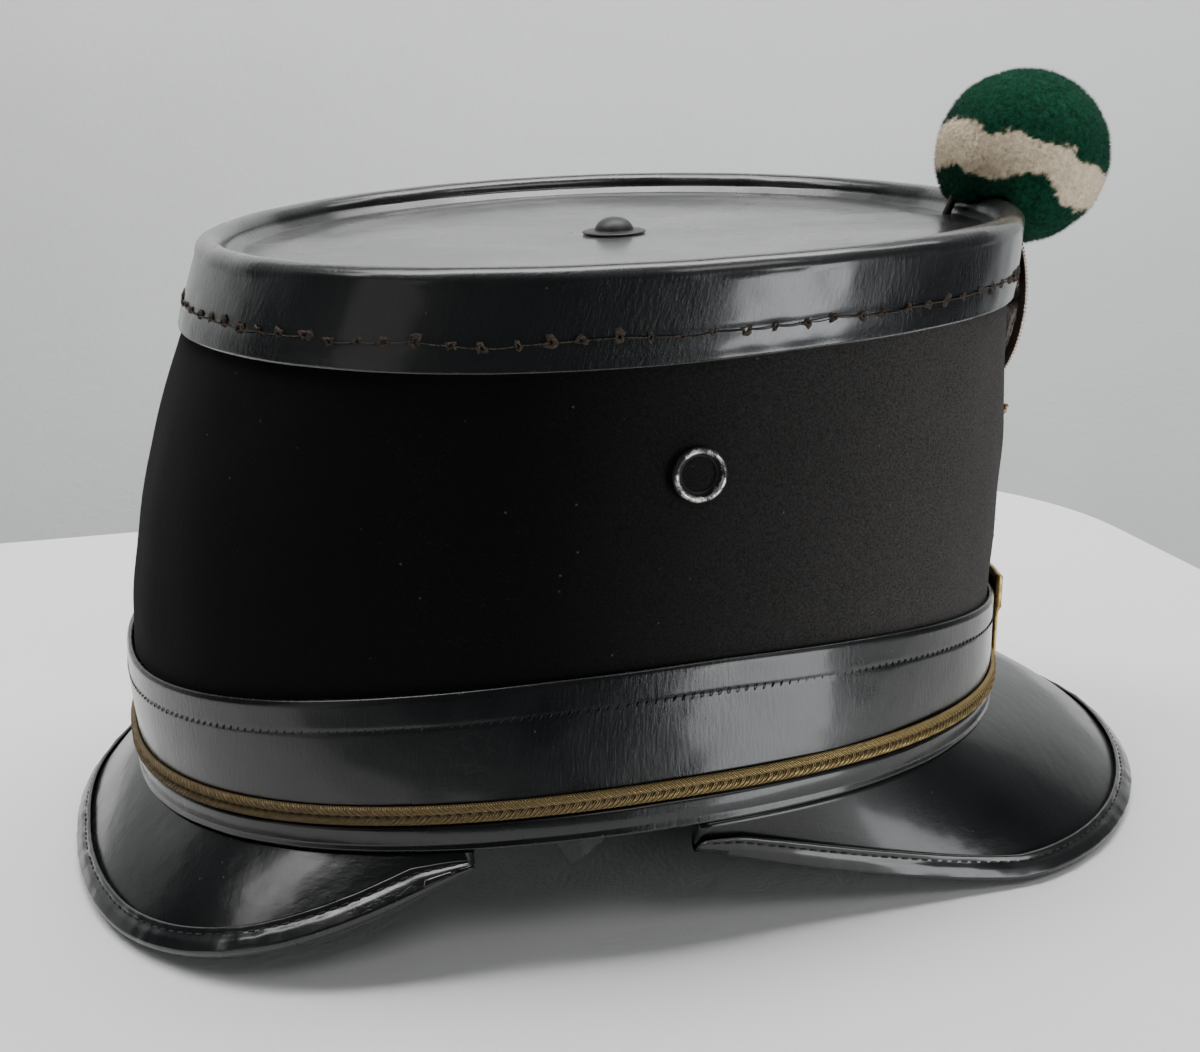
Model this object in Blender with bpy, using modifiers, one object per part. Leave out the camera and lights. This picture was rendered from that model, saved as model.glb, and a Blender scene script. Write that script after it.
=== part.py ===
"""Shako: a felt body with a leather cap, bands, two peaks and its front ornaments.

Metres, +Z up, +X towards the front of the hat, floor at Z = 0, origin below the middle.
The outer face of the felt is one smooth surface through a short table of ovals. Every
band, braid and binding lies on that surface at its own distance from the felt.
"""
import math

import bmesh
import bpy
import numpy as np
from mathutils import Matrix, Vector

# Driving dimensions of the felt body
HEAD_LENGTH = 0.2074
HEAD_WIDTH = 0.1668
BODY_HEIGHT = 0.1170
EDGE_HEIGHT = 0.0284
CROWN_LEAN = 0.0145
FRONT_DIP = 0.0145
BACK_DIP = 0.0105
FELT_WALL = 0.0024
CLEARANCE = 0.0003

# Leather and braid on the body
CAP_LEATHER = 0.0015
CAP_BAND_HEIGHT = 0.0197
RIM_RADIUS = 0.0032
PLATE_RECESS = 0.0050
PLATE_WALL_RUN = 0.0020
BAND_LEATHER = 0.0015
BAND_HEIGHT = 0.0351
BINDING_LEATHER = 0.0010
BRAID_HEIGHT = 0.0042
BRAID_DEPTH = 0.0012
BRAID_RISE = 0.0084

# Peaks
PEAK_LEATHER = 0.0018
FRONT_PEAK_LENGTH = 0.0440
FRONT_PEAK_ROUND = 0.0650
FRONT_PEAK_CORNER = 0.0060
FRONT_PEAK_SQUARENESS = 1.75
FRONT_PEAK_FALL = 1.35
FRONT_CORNER_DROP = 0.0055
REAR_PEAK_LENGTH = 0.0158
REAR_PEAK_ROUND = 0.0670
REAR_PEAK_CORNER = -0.0405
REAR_PEAK_SQUARENESS = 2.40
REAR_PEAK_FALL = 1.25
REAR_CORNER_DROP = 0.0028
REAR_PEAK_REST = 0.0067
PEAK_INSET = 0.0012
PEAK_CROWN_RADIUS = 0.1100
PEAK_FLANGE = 0.0040
RIM_BINDING_DEPTH = 0.0060
RIM_BINDING_LEATHER = 0.0008
RIM_LIFT = 0.0006

# Fittings
EYELET_DIAMETER = 0.0115
EYELET_BORE = 0.0058
EYELET_BARREL = 0.0074
EYELET_HEIGHT = 0.0745
EYELET_FLANGE = 0.0013
EYELET_INNER_FLANGE = 0.0006
BUTTON_DIAMETER = 0.0092
BUTTON_FLANGE = 0.0150
BUTTON_HEIGHT = 0.0036
BUTTON_EDGE = 0.0004
COCKADE_DIAMETER = 0.0480
COCKADE_DEPTH = 0.0046
COCKADE_METAL = 0.0008
COCKADE_HEIGHT = 0.0913
COCKADE_STANDOFF = 0.0030
SHANK_DIAMETER = 0.0044
RIFLE_METAL = 0.0016
RIFLE_LENGTH = 0.0500
RIFLE_HEIGHT = 0.0568
PLATE_LENGTH = 0.0560
PLATE_HEIGHT = 0.0245
PLATE_OVERLAP = 0.0025
PLATE_STANDOFF = 0.0008
PLATE_METAL = 0.0010
PLATE_RIB = 0.0010
PLATE_RIB_SHARE = 0.38
POMPOM_DIAMETER = 0.0438
POMPOM_FORWARD = 0.0128
POMPOM_RISE = 0.0086
TUFT_DEPTH = 0.0004
PIN_DIAMETER = 0.0020
PIN_LENGTH = 0.0150
PIN_INSET = 0.0020
PIN_LEAN = 25.0
PIN_IN_BALL = 0.7
TAB_DROP = 0.0085
TAB_RISE = 0.0100
TAB_LEATHER = 0.0014
TAB_LEFT = -13.0
TAB_RIGHT = -4.5
TAB_POINT = -10.1

# How finely round things are cut into flats
SEGMENTS = 48
PEAK_STEPS = 18
ROOT_SPREAD = 0.8
TURNED_STEPS = 24
SMALL_STEPS = 16

# Ovals of the felt's outer face, from the bottom edge to the top of the rim. Height is a
# share of BODY_HEIGHT, length of HEAD_LENGTH, width of HEAD_WIDTH, lean of CROWN_LEAN, and
# the dips of FRONT_DIP and BACK_DIP. Tilt is rise over run towards the front.
OVAL_COLUMNS = ("height", "length", "width", "lean", "squareness", "tilt", "front_dip", "back_dip")
OVALS = (
    (0.000, 0.994, 1.005, 0.09, 2.20, 0.012, 0.14, 0.62),
    (0.072, 1.000, 1.000, 0.08, 2.25, 0.022, 0.31, 0.53),
    (0.300, 1.012, 1.000, 0.10, 2.15, 0.026, 1.00, 1.00),
    (0.569, 0.995, 0.998, 0.34, 2.12, 0.034, 0.55, 0.40),
    (0.832, 0.935, 1.002, 0.72, 2.05, 0.048, 0.26, -0.19),
    (1.000, 0.914, 1.019, 1.00, 1.98, 0.023, 0.12, 0.12),
)

# Levels at which the felt has an edge loop, as shares of BODY_HEIGHT
BAND_TOP = BAND_HEIGHT / BODY_HEIGHT
BRAID_LEVEL = BRAID_RISE / BODY_HEIGHT
CAP_LOW = 1.0 - CAP_BAND_HEIGHT / BODY_HEIGHT
SHOULDER = 1.0 - RIM_RADIUS / BODY_HEIGHT
BAND_LEVELS = (0.0, BRAID_LEVEL, (BRAID_LEVEL + BAND_TOP) / 2, BAND_TOP)
SIDE_LEVELS = tuple(BAND_TOP + (CAP_LOW - BAND_TOP) * share for share in (0.25, 0.50, 0.75))
CAP_LEVELS = (CAP_LOW, (CAP_LOW + SHOULDER) / 2, SHOULDER)

# Distances of the skins from the felt's outer face
BAND_OUTSIDE = CLEARANCE + BAND_LEATHER
CAP_OUTSIDE = CLEARANCE + CAP_LEATHER

ANGLES = np.linspace(-math.pi, math.pi, SEGMENTS, endpoint=False)
RIGHT_SIDE = -math.pi / 2
PRESS_REACH = math.radians(46)
UP = np.array((0.0, 0.0, 1.0))


def clear_scene():
    """Remove what the file holds before the hat is modelled."""
    for item in list(bpy.data.objects):
        bpy.data.objects.remove(item, do_unlink=True)


def new_collection(name):
    """A collection linked to the scene."""
    group = bpy.data.collections.new(name)
    bpy.context.scene.collection.children.link(group)
    return group


def new_material(name, colour, roughness, metallic=0.0):
    """A Principled material with a plain colour."""
    made = bpy.data.materials.new(name)
    made.use_nodes = True
    shader = made.node_tree.nodes["Principled BSDF"]
    shader.inputs["Base Color"].default_value = (*colour, 1.0)
    shader.inputs["Roughness"].default_value = roughness
    shader.inputs["Metallic"].default_value = metallic
    return made


def oval_values(level):
    """Columns of the oval table at a level, by a smooth curve through its rows."""
    table = np.array(OVALS)
    knots = table[:, 0]
    spans = np.diff(knots)[:, None]
    rates = np.diff(table, axis=0) / spans
    inner = (rates[:-1] * spans[1:] + rates[1:] * spans[:-1]) / (spans[1:] + spans[:-1])
    slopes = np.vstack([rates[:1], inner, rates[-1:]])
    level = np.clip(np.asarray(level, dtype=float), 0.0, 1.0)
    row = np.clip(np.searchsorted(knots, level, side="right") - 1, 0, len(knots) - 2)
    span = np.diff(knots)[row]
    share = ((level - knots[row]) / span)[..., None]
    span = span[..., None]
    values = (table[row] * (1 + 2 * share) * (1 - share) ** 2
              + table[row + 1] * share ** 2 * (3 - 2 * share)
              + slopes[row] * span * share * (1 - share) ** 2
              - slopes[row + 1] * span * share ** 2 * (1 - share))
    return {name: values[..., number] for number, name in enumerate(OVAL_COLUMNS)}


def outward(level, angle):
    """Level unit vector that points out of the body at an angle."""
    oval = oval_values(level)
    power = 2.0 - 2.0 / oval["squareness"]
    cosine, sine = np.cos(angle), np.sin(angle)
    x = np.sign(cosine) * np.abs(cosine) ** power / (oval["length"] * HEAD_LENGTH)
    y = np.sign(sine) * np.abs(sine) ** power / (oval["width"] * HEAD_WIDTH)
    size = np.hypot(x, y)
    return np.stack([x / size, y / size, np.zeros_like(x + y)], axis=-1)


def skin(level, angle, offset=0.0):
    """Points at a distance from the felt's outer face, for levels and angles that broadcast."""
    level, angle = np.broadcast_arrays(np.asarray(level, dtype=float), np.asarray(angle, dtype=float))
    oval = oval_values(level)
    power = 2.0 / oval["squareness"]
    cosine, sine = np.cos(angle), np.sin(angle)
    along = np.sign(cosine) * np.abs(cosine) ** power
    across = np.sign(sine) * np.abs(sine) ** power
    half_length = oval["length"] * HEAD_LENGTH / 2
    dip = np.where(along > 0, oval["front_dip"] * FRONT_DIP, oval["back_dip"] * BACK_DIP)
    x = oval["lean"] * CROWN_LEAN + half_length * along
    y = oval["width"] * HEAD_WIDTH / 2 * across
    z = EDGE_HEIGHT + oval["height"] * BODY_HEIGHT + oval["tilt"] * half_length * along - dip * along ** 2
    return np.stack([x, y, z], axis=-1) + outward(level, angle) * offset


def felt_frame(height, angle):
    """Point on the felt at a height over its edge, and a matrix whose Z points out of it."""
    level = height / BODY_HEIGHT
    step = 0.01
    point = skin(level, angle)
    around = skin(level, angle + step) - skin(level, angle - step)
    rise = skin(level + step, angle) - skin(level - step, angle)
    out = Vector(np.cross(around, rise)).normalized()
    up = Vector(rise).normalized()
    side = up.cross(out)
    turn = Matrix((side, up, out)).transposed().to_4x4()
    return point, Matrix.Translation(point) @ turn


def grid_faces(rows, columns, wrap_rows=False, wrap_columns=False):
    """Quads over a grid of points, numbered row by row."""
    faces = []
    for row in range(rows if wrap_rows else rows - 1):
        above = (row + 1) % rows
        for column in range(columns if wrap_columns else columns - 1):
            after = (column + 1) % columns
            faces.append((row * columns + column, row * columns + after,
                          above * columns + after, above * columns + column))
    return faces


def end_faces(rows, columns):
    """The two end faces of a section that is carried along the columns."""
    return [tuple(row * columns + column for row in range(rows)) for column in (0, columns - 1)]


def add_object(name, points, faces, group, material, parent=None, closed=False):
    """A mesh object from points and faces, with the faces of a closed body turned outwards."""
    mesh = bpy.data.meshes.new(name)
    mesh.from_pydata([tuple(point) for point in points], [], faces)
    if closed:
        body = bmesh.new()
        body.from_mesh(mesh)
        bmesh.ops.recalc_face_normals(body, faces=body.faces)
        body.to_mesh(mesh)
        body.free()
    mesh.shade_smooth()
    mesh.set_sharp_from_angle(angle=math.radians(40))
    made = bpy.data.objects.new(name, mesh)
    group.objects.link(made)
    made.parent = parent
    if material:
        mesh.materials.append(material)
    return made


def add_wall(item, thickness, side):
    """Give an open surface its thickness: side 1 outwards, -1 inwards, 0 both ways."""
    wall = item.modifiers.new("wall", "SOLIDIFY")
    wall.thickness = thickness
    wall.offset = side
    wall.use_even_offset = True
    return item


def add_cut(item, cutter):
    """Cut an object with a closed cutter."""
    cut = item.modifiers.new("cut " + cutter.name, "BOOLEAN")
    cut.operation = "DIFFERENCE"
    cut.solver = "EXACT"
    cut.object = cutter


def hide_cutter(cutter):
    """Show a cutter as wires only."""
    cutter.hide_render = True
    cutter.display_type = "WIRE"
    return cutter


def turned(name, profile, steps, group, material, parent=None, closed_profile=False):
    """A turned solid about Z from (radius, height) points that run down its outer side."""
    mesh = bpy.data.meshes.new(name)
    count = len(profile)
    edges = [(number, number + 1) for number in range(count - 1)]
    if closed_profile:
        edges.append((count - 1, 0))
    mesh.from_pydata([(radius, 0.0, height) for radius, height in profile], edges, [])
    made = bpy.data.objects.new(name, mesh)
    group.objects.link(made)
    made.parent = parent
    if material:
        mesh.materials.append(material)
    screw = made.modifiers.new("turn", "SCREW")
    screw.axis = "Z"
    screw.steps = steps
    screw.render_steps = steps
    screw.use_merge_vertices = True
    screw.merge_threshold = 0.00002
    screw.use_smooth_shade = True
    return made


def body_skin(name, levels, offset, thickness, side, group, material, parent):
    """A band of the body between levels, as an open surface with a wall."""
    points = skin(np.array(levels)[:, None], ANGLES[None, :], offset).reshape(-1, 3)
    faces = grid_faces(len(levels), SEGMENTS, wrap_columns=True)
    return add_wall(add_object(name, points, faces, group, material, parent), thickness, side)


def build_felt(parts, cutters, material, parent):
    """Felt wall from the bottom edge to just under the rim, pierced for the eyelets."""
    top = SHOULDER - CLEARANCE / BODY_HEIGHT
    levels = BAND_LEVELS + SIDE_LEVELS + CAP_LEVELS[:-1] + (top,)
    felt = body_skin("felt_body", levels, 0.0, FELT_WALL, -1, parts, material, parent)
    for name, angle in (("right", RIGHT_SIDE), ("left", -RIGHT_SIDE)):
        radius = EYELET_BARREL / 2 + CLEARANCE
        reach = 4 * FELT_WALL
        profile = ((0.0, reach), (radius, reach), (radius, -reach), (0.0, -reach))
        drill = hide_cutter(turned("eyelet_hole_" + name, profile, SMALL_STEPS, cutters, None, parent))
        drill.matrix_local = felt_frame(EYELET_HEIGHT, angle)[1]
        add_cut(felt, drill)


def rim_points(profile, angles):
    """Points at (distance out, height) from the rim's shoulder, row by row round the hat."""
    base = skin(SHOULDER, angles)
    out = outward(SHOULDER, angles)
    return np.array([base + out * distance + UP * height for distance, height in profile])


def rim_arc(radius, steps=6):
    """Half circle over the rolled rim, from its outer side to its inner side."""
    centre = CAP_OUTSIDE - RIM_RADIUS
    turns = [math.pi * number / steps for number in range(steps + 1)]
    return [(centre + radius * math.cos(turn), radius * math.sin(turn)) for turn in turns]


def plate_edge():
    """(distance out, height) of the sunk plate's edge, from the rim's shoulder."""
    return CAP_OUTSIDE - 2 * RIM_RADIUS - PLATE_WALL_RUN, RIM_RADIUS - PLATE_RECESS


def plate_centre():
    """Middle of the sunk plate."""
    edge = rim_points([plate_edge()], ANGLES)[0]
    return edge.mean(axis=0)


def build_cap(parts, cutters, material, parent):
    """Leather cap: side band, rolled rim, sloping inner wall and sunk plate, in one piece."""
    side = skin(np.array(CAP_LEVELS[:-1])[:, None], ANGLES[None, :], CAP_OUTSIDE)
    rim = rim_points(rim_arc(RIM_RADIUS) + [plate_edge()], ANGLES)
    centre = plate_centre()
    plate = np.array([rim[-1] + (centre - rim[-1]) * share for share in (0.30, 0.75)])
    rows = np.concatenate([side, rim, plate])
    faces = grid_faces(len(rows), SEGMENTS, wrap_columns=True)
    last = (len(rows) - 1) * SEGMENTS
    middle = len(rows) * SEGMENTS
    faces += [(last + column, last + (column + 1) % SEGMENTS, middle) for column in range(SEGMENTS)]
    points = np.vstack([rows.reshape(-1, 3), centre])
    cap = add_wall(add_object("crown_cap", points, faces, parts, material, parent), CAP_LEATHER, -1)
    radius = PIN_DIAMETER / 2 + CLEARANCE
    profile = ((0.0, PIN_LENGTH), (radius, PIN_LENGTH), (radius, -PIN_LENGTH), (0.0, -PIN_LENGTH))
    drill = hide_cutter(turned("pin_hole", profile, SMALL_STEPS, cutters, None, parent))
    drill.matrix_local = pin_frame()
    add_cut(cap, drill)


def ring_on_body(name, level, section, group, material, parent):
    """A closed ring round the body from a section of (distance out, height) points."""
    base, out = skin(level, ANGLES), outward(level, ANGLES)
    rows = np.array([base + out * distance + UP * height for distance, height in section])
    faces = grid_faces(len(section), SEGMENTS, wrap_rows=True, wrap_columns=True)
    return add_object(name, rows.reshape(-1, 3), faces, group, material, parent, closed=True)


def build_bands(parts, leather, braid, parent):
    """Patent band, the binding strip on its foot, and the braid with its two ridges."""
    body_skin("lower_band", BAND_LEVELS, CLEARANCE, BAND_LEATHER, 1, parts, leather, parent)
    back = BAND_OUTSIDE + CLEARANCE
    half = BRAID_HEIGHT / 2
    low, high = skin(0.0, ANGLES, back), skin(BRAID_LEVEL, ANGLES, back)
    share = 1 - (half + CLEARANCE) / (high[:, 2:] - low[:, 2:])
    points = np.vstack([low, low + (high - low) * share])
    faces = grid_faces(2, SEGMENTS, wrap_columns=True)
    add_wall(add_object("bottom_binding", points, faces, parts, leather, parent), BINDING_LEATHER, 1)
    section = [(back, -half), (back + 0.8 * BRAID_DEPTH, -0.95 * half), (back + BRAID_DEPTH, -0.5 * half),
               (back + 0.5 * BRAID_DEPTH, 0.0), (back + BRAID_DEPTH, 0.5 * half),
               (back + 0.8 * BRAID_DEPTH, 0.95 * half), (back, half)]
    ring_on_body("gold_braid", BRAID_LEVEL, section, parts, braid, parent)


def spread(points, count, power=1.0):
    """Points along a polyline at equal distances, or closer at its end with a power under 1."""
    lengths = np.concatenate([[0.0], np.cumsum(np.linalg.norm(np.diff(points, axis=0), axis=1))])
    wanted = lengths[-1] * np.linspace(0.0, 1.0, count) ** power
    return np.stack([np.interp(wanted, lengths, points[:, axis]) for axis in range(3)], axis=-1)


def whole_peak(half):
    """Both halves of a peak's line, from the right corner over the tip to the left corner."""
    mirrored = half[::-1] * np.array((1.0, -1.0, 1.0))
    return np.vstack([half, mirrored[1:]])


def peak_lines(front):
    """Root line under the body's edge, and rim line, of the front or the rear peak."""
    if front:
        corner, length, rounding = FRONT_PEAK_CORNER, FRONT_PEAK_LENGTH, FRONT_PEAK_ROUND
        squareness, fall_power, corner_drop = FRONT_PEAK_SQUARENESS, FRONT_PEAK_FALL, FRONT_CORNER_DROP
        side, start_angle, end_angle = 1.0, RIGHT_SIDE * 1.9, 0.0
    else:
        corner, length, rounding = REAR_PEAK_CORNER, REAR_PEAK_LENGTH, REAR_PEAK_ROUND
        squareness, fall_power, corner_drop = REAR_PEAK_SQUARENESS, REAR_PEAK_FALL, REAR_CORNER_DROP
        side, start_angle, end_angle = -1.0, RIGHT_SIDE * 0.1, -math.pi
    angles = np.linspace(start_angle, end_angle, 721)
    edge = skin(0.0, angles, BAND_OUTSIDE)
    kept = edge[:, 0] * side >= corner * side
    root = spread(edge[kept], PEAK_STEPS, ROOT_SPREAD) - UP * (CLEARANCE + PEAK_LEATHER / 2)
    tip = side * edge[-1, 0] + length
    half_width = HEAD_WIDTH / 2 - PEAK_INSET
    flat = tip - rounding
    turns = np.linspace(0.0, math.pi / 2, 181)
    along = flat + rounding * np.sin(turns) ** (2 / squareness)
    across = half_width * np.cos(turns) ** (2 / squareness)
    straight = np.linspace(side * corner, flat, 60, endpoint=False)
    along = np.concatenate([straight, along])
    across = np.concatenate([np.full(len(straight), half_width), across])
    kept = along >= side * corner
    along, across = along[kept], across[kept]
    rest = flat if front else tip - REAR_PEAK_REST
    corner_height = root[0, 2] - corner_drop
    fall = np.clip((rest - along) / (rest - along[0]), 0.0, 1.0)
    height = RIM_LIFT + (corner_height - RIM_LIFT) * fall ** fall_power
    rim = spread(np.stack([side * along, -across, height], axis=-1), PEAK_STEPS)
    return whole_peak(root), whole_peak(rim)


def unit(vectors):
    """Vectors scaled to length 1."""
    return vectors / np.linalg.norm(vectors, axis=-1, keepdims=True)


def beside(line, direction):
    """Unit vectors square to a line and to a direction, on the side that faces out at its middle."""
    square = unit(np.cross(direction, np.gradient(line, axis=0)))
    middle = len(line) // 2
    facing = np.array((np.sign(line[middle, 0]), 0.0, 1.0))
    return square * np.sign(square[middle] @ facing)


def crown_of(root, rim):
    """Length, direction and crown of each line of a peak's sheet from its root to its rim."""
    length = np.linalg.norm(rim - root, axis=1, keepdims=True)
    run = (rim - root) / length
    crown = beside(rim, run) * length ** 2 / (8 * PEAK_CROWN_RADIUS)
    return length, run, crown


def rim_frames(root, rim):
    """At each point of the rim: into the sheet, out of the sheet, and how far a line slants."""
    length, run, crown = crown_of(root, rim)
    back = unit(4 * crown - run * length)
    out = beside(rim, back)
    inward = np.cross(out, unit(np.gradient(rim, axis=0)))
    inward *= np.sign(np.sum(inward * back, axis=1, keepdims=True))
    return inward, out, np.sum(inward * back, axis=1, keepdims=True)


def build_peak(name, front, parts, material, parent):
    """Peak sheet: a flange under the body's edge, then a crowned sheet down to the rim."""
    root, rim = peak_lines(front)
    length, run, crown = crown_of(root, rim)
    slant = rim_frames(root, rim)[2]
    reach = 1.0 - (RIM_BINDING_LEATHER + 2 * CLEARANCE) / (length * slant)
    rows = [root - beside(root, UP) * PEAK_FLANGE, root]
    for share in (0.3, 0.6, 0.85, 1.0):
        part = share * reach
        rows.append(root + run * length * part + crown * 4 * part * (1 - part))
    points = np.array(rows).reshape(-1, 3)
    faces = grid_faces(len(rows), len(root))
    add_wall(add_object(name, points, faces, parts, material, parent), PEAK_LEATHER, 0)


def build_rim_binding(name, front, parts, material, parent):
    """Folded strip on a peak's rim: a channel that the sheet's edge stands in, flat on the floor."""
    root, rim = peak_lines(front)
    inward, out, slant = rim_frames(root, rim)
    inner = PEAK_LEATHER / 2 + 2 * CLEARANCE
    outer = inner + RIM_BINDING_LEATHER
    length = crown_of(root, rim)[0]
    depth = np.minimum(RIM_BINDING_DEPTH, 0.6 * length * slant)
    # Share of the strip's depth, distance from the rim and height over the sheet's middle
    section = [(1.0, 0.0, outer), (0.0, 0.6 * outer, outer), (0.0, 0.0, 0.4 * outer),
               (0.0, 0.0, -0.4 * outer), (0.0, 0.6 * outer, -outer), (1.0, 0.0, -outer),
               (1.0, 0.0, -inner), (0.0, RIM_BINDING_LEATHER, -inner),
               (0.0, RIM_BINDING_LEATHER, inner), (1.0, 0.0, inner)]
    points = np.array([rim + inward * (depth * share + start) + out * height
                       for share, start, height in section])
    points[..., 2] = np.maximum(points[..., 2], 0.0)
    count = len(rim)
    faces = grid_faces(len(section), count, wrap_rows=True) + end_faces(len(section), count)
    add_object(name, points.reshape(-1, 3), faces, parts, material, parent, closed=True)


def build_eyelets(parts, material, parent):
    """Vent eyelets: a barrel through the felt with a rolled flange outside and a small one inside."""
    bore, barrel, rim = EYELET_BORE / 2, EYELET_BARREL / 2, EYELET_DIAMETER / 2
    seat = 2 * CLEARANCE
    inside = -(FELT_WALL + seat)
    washer = 0.9 * rim
    profile = ((bore, seat + 0.4 * EYELET_FLANGE), (barrel, seat + 0.9 * EYELET_FLANGE),
               ((barrel + rim) / 2, seat + EYELET_FLANGE), (0.97 * rim, seat + 0.7 * EYELET_FLANGE),
               (rim, seat), (barrel, seat), (barrel, inside), (washer, inside),
               (washer, inside - EYELET_INNER_FLANGE), (bore, inside - EYELET_INNER_FLANGE))
    for name, angle in (("eyelet_right", RIGHT_SIDE), ("eyelet_left", -RIGHT_SIDE)):
        eyelet = turned(name, profile, SMALL_STEPS, parts, material, parent, closed_profile=True)
        eyelet.matrix_local = felt_frame(EYELET_HEIGHT, angle)[1]


def build_button(parts, material, parent):
    """Domed button with a thin flange, in the middle of the sunk plate."""
    dome, flange, edge = BUTTON_DIAMETER / 2, BUTTON_FLANGE / 2, BUTTON_EDGE
    profile = [(dome * math.sin(turn), edge + (BUTTON_HEIGHT - edge) * math.cos(turn))
               for turn in np.linspace(0.0, math.pi / 2, 5)]
    profile += [(dome * 1.15, edge), (flange, edge * 0.9), (flange, 0.0), (0.0, 0.0)]
    button = turned("top_button", profile, TURNED_STEPS, parts, material, parent)
    front, back = rim_points([plate_edge()], np.array((0.0, math.pi)))[0]
    slope = math.atan2(front[2] - back[2], front[0] - back[0])
    seat = Vector(plate_centre()) + Vector((0.0, 0.0, CLEARANCE))
    button.matrix_local = Matrix.Translation(seat) @ Matrix.Rotation(-slope, 4, "Y")


def cockade_face(gap=0.0):
    """(radius, height) points down the cockade's front: dome, valley and flat toothed rim."""
    radius = COCKADE_DIAMETER / 2
    shape = ((0.0, 1.0), (0.25, 0.93), (0.52, 0.66), (0.76, 0.22), (0.88, 0.05), (1.0, 0.10))
    return [(radius * share + (gap if share == 1.0 else 0.0), COCKADE_DEPTH * rise + gap)
            for share, rise in shape]


def cockade_frame():
    """Matrix of the cockade's rim plane: its middle stands off the felt, its top clears the cap."""
    middle = felt_frame(COCKADE_HEIGHT, 0.0)[0] + np.array((COCKADE_STANDOFF, 0.0, 0.0))
    clear = CAP_OUTSIDE + 2 * CLEARANCE + COCKADE_METAL
    shoulder = rim_points([(clear, 0.0)], np.array((0.0,)))[0, 0]
    lean = math.atan2(shoulder[0] - middle[0], shoulder[2] - middle[2])
    return Matrix.Translation(middle) @ Matrix.Rotation(lean + math.pi / 2, 4, "Y")


def build_cockade(parts, material, parent):
    """Dished disc with a short shank that reaches back to the felt."""
    face = cockade_face()
    shank, foot = SHANK_DIAMETER / 2, 2 * CLEARANCE - COCKADE_STANDOFF
    back = [(radius, height - COCKADE_METAL) for radius, height in reversed(face[1:])]
    profile = face + back + [(shank, back[-1][1]), (shank, foot), (0.0, foot)]
    cockade = turned("cockade", profile, TURNED_STEPS, parts, material, parent)
    cockade.matrix_local = cockade_frame()


def flat_plate(name, outline, thickness, group, material, parent):
    """A flat plate of a thickness from its outline, with its lower face at Z = 0."""
    curve = bpy.data.curves.new(name, "CURVE")
    curve.dimensions = "2D"
    curve.fill_mode = "BOTH"
    curve.extrude = thickness / 2
    spline = curve.splines.new("POLY")
    spline.points.add(len(outline) - 1)
    for point, (x, y) in zip(spline.points, outline):
        point.co = (x, y, 0.0, 1.0)
    spline.use_cyclic_u = True
    drawn = bpy.data.objects.new(name + "_outline", curve)
    bpy.context.scene.collection.objects.link(drawn)
    bpy.context.view_layer.update()
    mesh = bpy.data.meshes.new_from_object(drawn.evaluated_get(bpy.context.evaluated_depsgraph_get()))
    bpy.data.objects.remove(drawn, do_unlink=True)
    body = bmesh.new()
    body.from_mesh(mesh)
    bmesh.ops.remove_doubles(body, verts=body.verts, dist=0.00001)
    bmesh.ops.translate(body, verts=body.verts, vec=(0.0, 0.0, thickness / 2))
    bmesh.ops.recalc_face_normals(body, faces=body.faces)
    body.to_mesh(mesh)
    body.free()
    made = bpy.data.objects.new(name, mesh)
    group.objects.link(made)
    made.parent = parent
    mesh.materials.clear()
    if material:
        mesh.materials.append(material)
    return made


def rifle_outline(side):
    """Outline of one rifle, butt down and leaning to a side, about the crossing."""
    # Along the rifle from the butt and across it, as shares of its length
    shape = ((-0.50, -0.035), (-0.49, 0.095), (-0.27, 0.045), (-0.20, 0.080), (-0.15, 0.045),
             (0.05, 0.035), (0.06, 0.024), (0.44, 0.024), (0.445, 0.045), (0.475, 0.045),
             (0.50, 0.020), (0.50, -0.020), (0.06, -0.024), (0.05, -0.035), (-0.25, -0.035))
    diagonal = math.sqrt(0.5) * RIFLE_LENGTH
    points = [((along + across) * diagonal * side, (along - across) * diagonal) for along, across in shape]
    return points if side > 0 else points[::-1]


def build_rifles(parts, cutters, material, parent):
    """Two crossed rifles, cast in one flat badge that stands against the felt."""
    place = felt_frame(RIFLE_HEIGHT, 0.0)[1] @ Matrix.Translation((0.0, 0.0, CLEARANCE))
    badge = flat_plate("rifle_badge", rifle_outline(1), RIFLE_METAL, parts, material, parent)
    badge.matrix_local = place
    over = flat_plate("second_rifle", rifle_outline(-1), 1.3 * RIFLE_METAL, cutters, None, parent)
    over.matrix_local = place
    hide_cutter(over)
    join = badge.modifiers.new("second rifle", "BOOLEAN")
    join.operation = "UNION"
    join.solver = "EXACT"
    join.object = over


def build_front_plate(parts, material, parent):
    """Plain brass plate round the front of the band, thicker along its upper third."""
    reach = PLATE_LENGTH / HEAD_WIDTH
    angles = np.linspace(-reach, reach, 9)
    back = BAND_OUTSIDE + PLATE_STANDOFF
    face = back + PLATE_METAL
    high, low = PLATE_OVERLAP, PLATE_OVERLAP - PLATE_HEIGHT
    step = high - PLATE_RIB_SHARE * PLATE_HEIGHT
    section = [(back, low), (face, low), (face, step), (face + PLATE_RIB, step + PLATE_RIB / 2),
               (face + PLATE_RIB, high - PLATE_RIB / 2), (face, high), (back, high)]
    base, out = skin(BAND_TOP, angles), outward(BAND_TOP, angles)
    rows = np.array([base + out * distance + UP * height for distance, height in section])
    faces = grid_faces(len(section), len(angles), wrap_rows=True) + end_faces(len(section), len(angles))
    add_object("lower_badge", rows.reshape(-1, 3), faces, parts, material, parent, closed=True)


def pompom_centre():
    """Middle of the ball, forward of the rim's front and above it."""
    front = rim_points([(CAP_OUTSIDE - RIM_RADIUS, RIM_RADIUS)], np.array((0.0,)))[0, 0]
    return front + np.array((POMPOM_FORWARD, 0.0, POMPOM_RISE))


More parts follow.
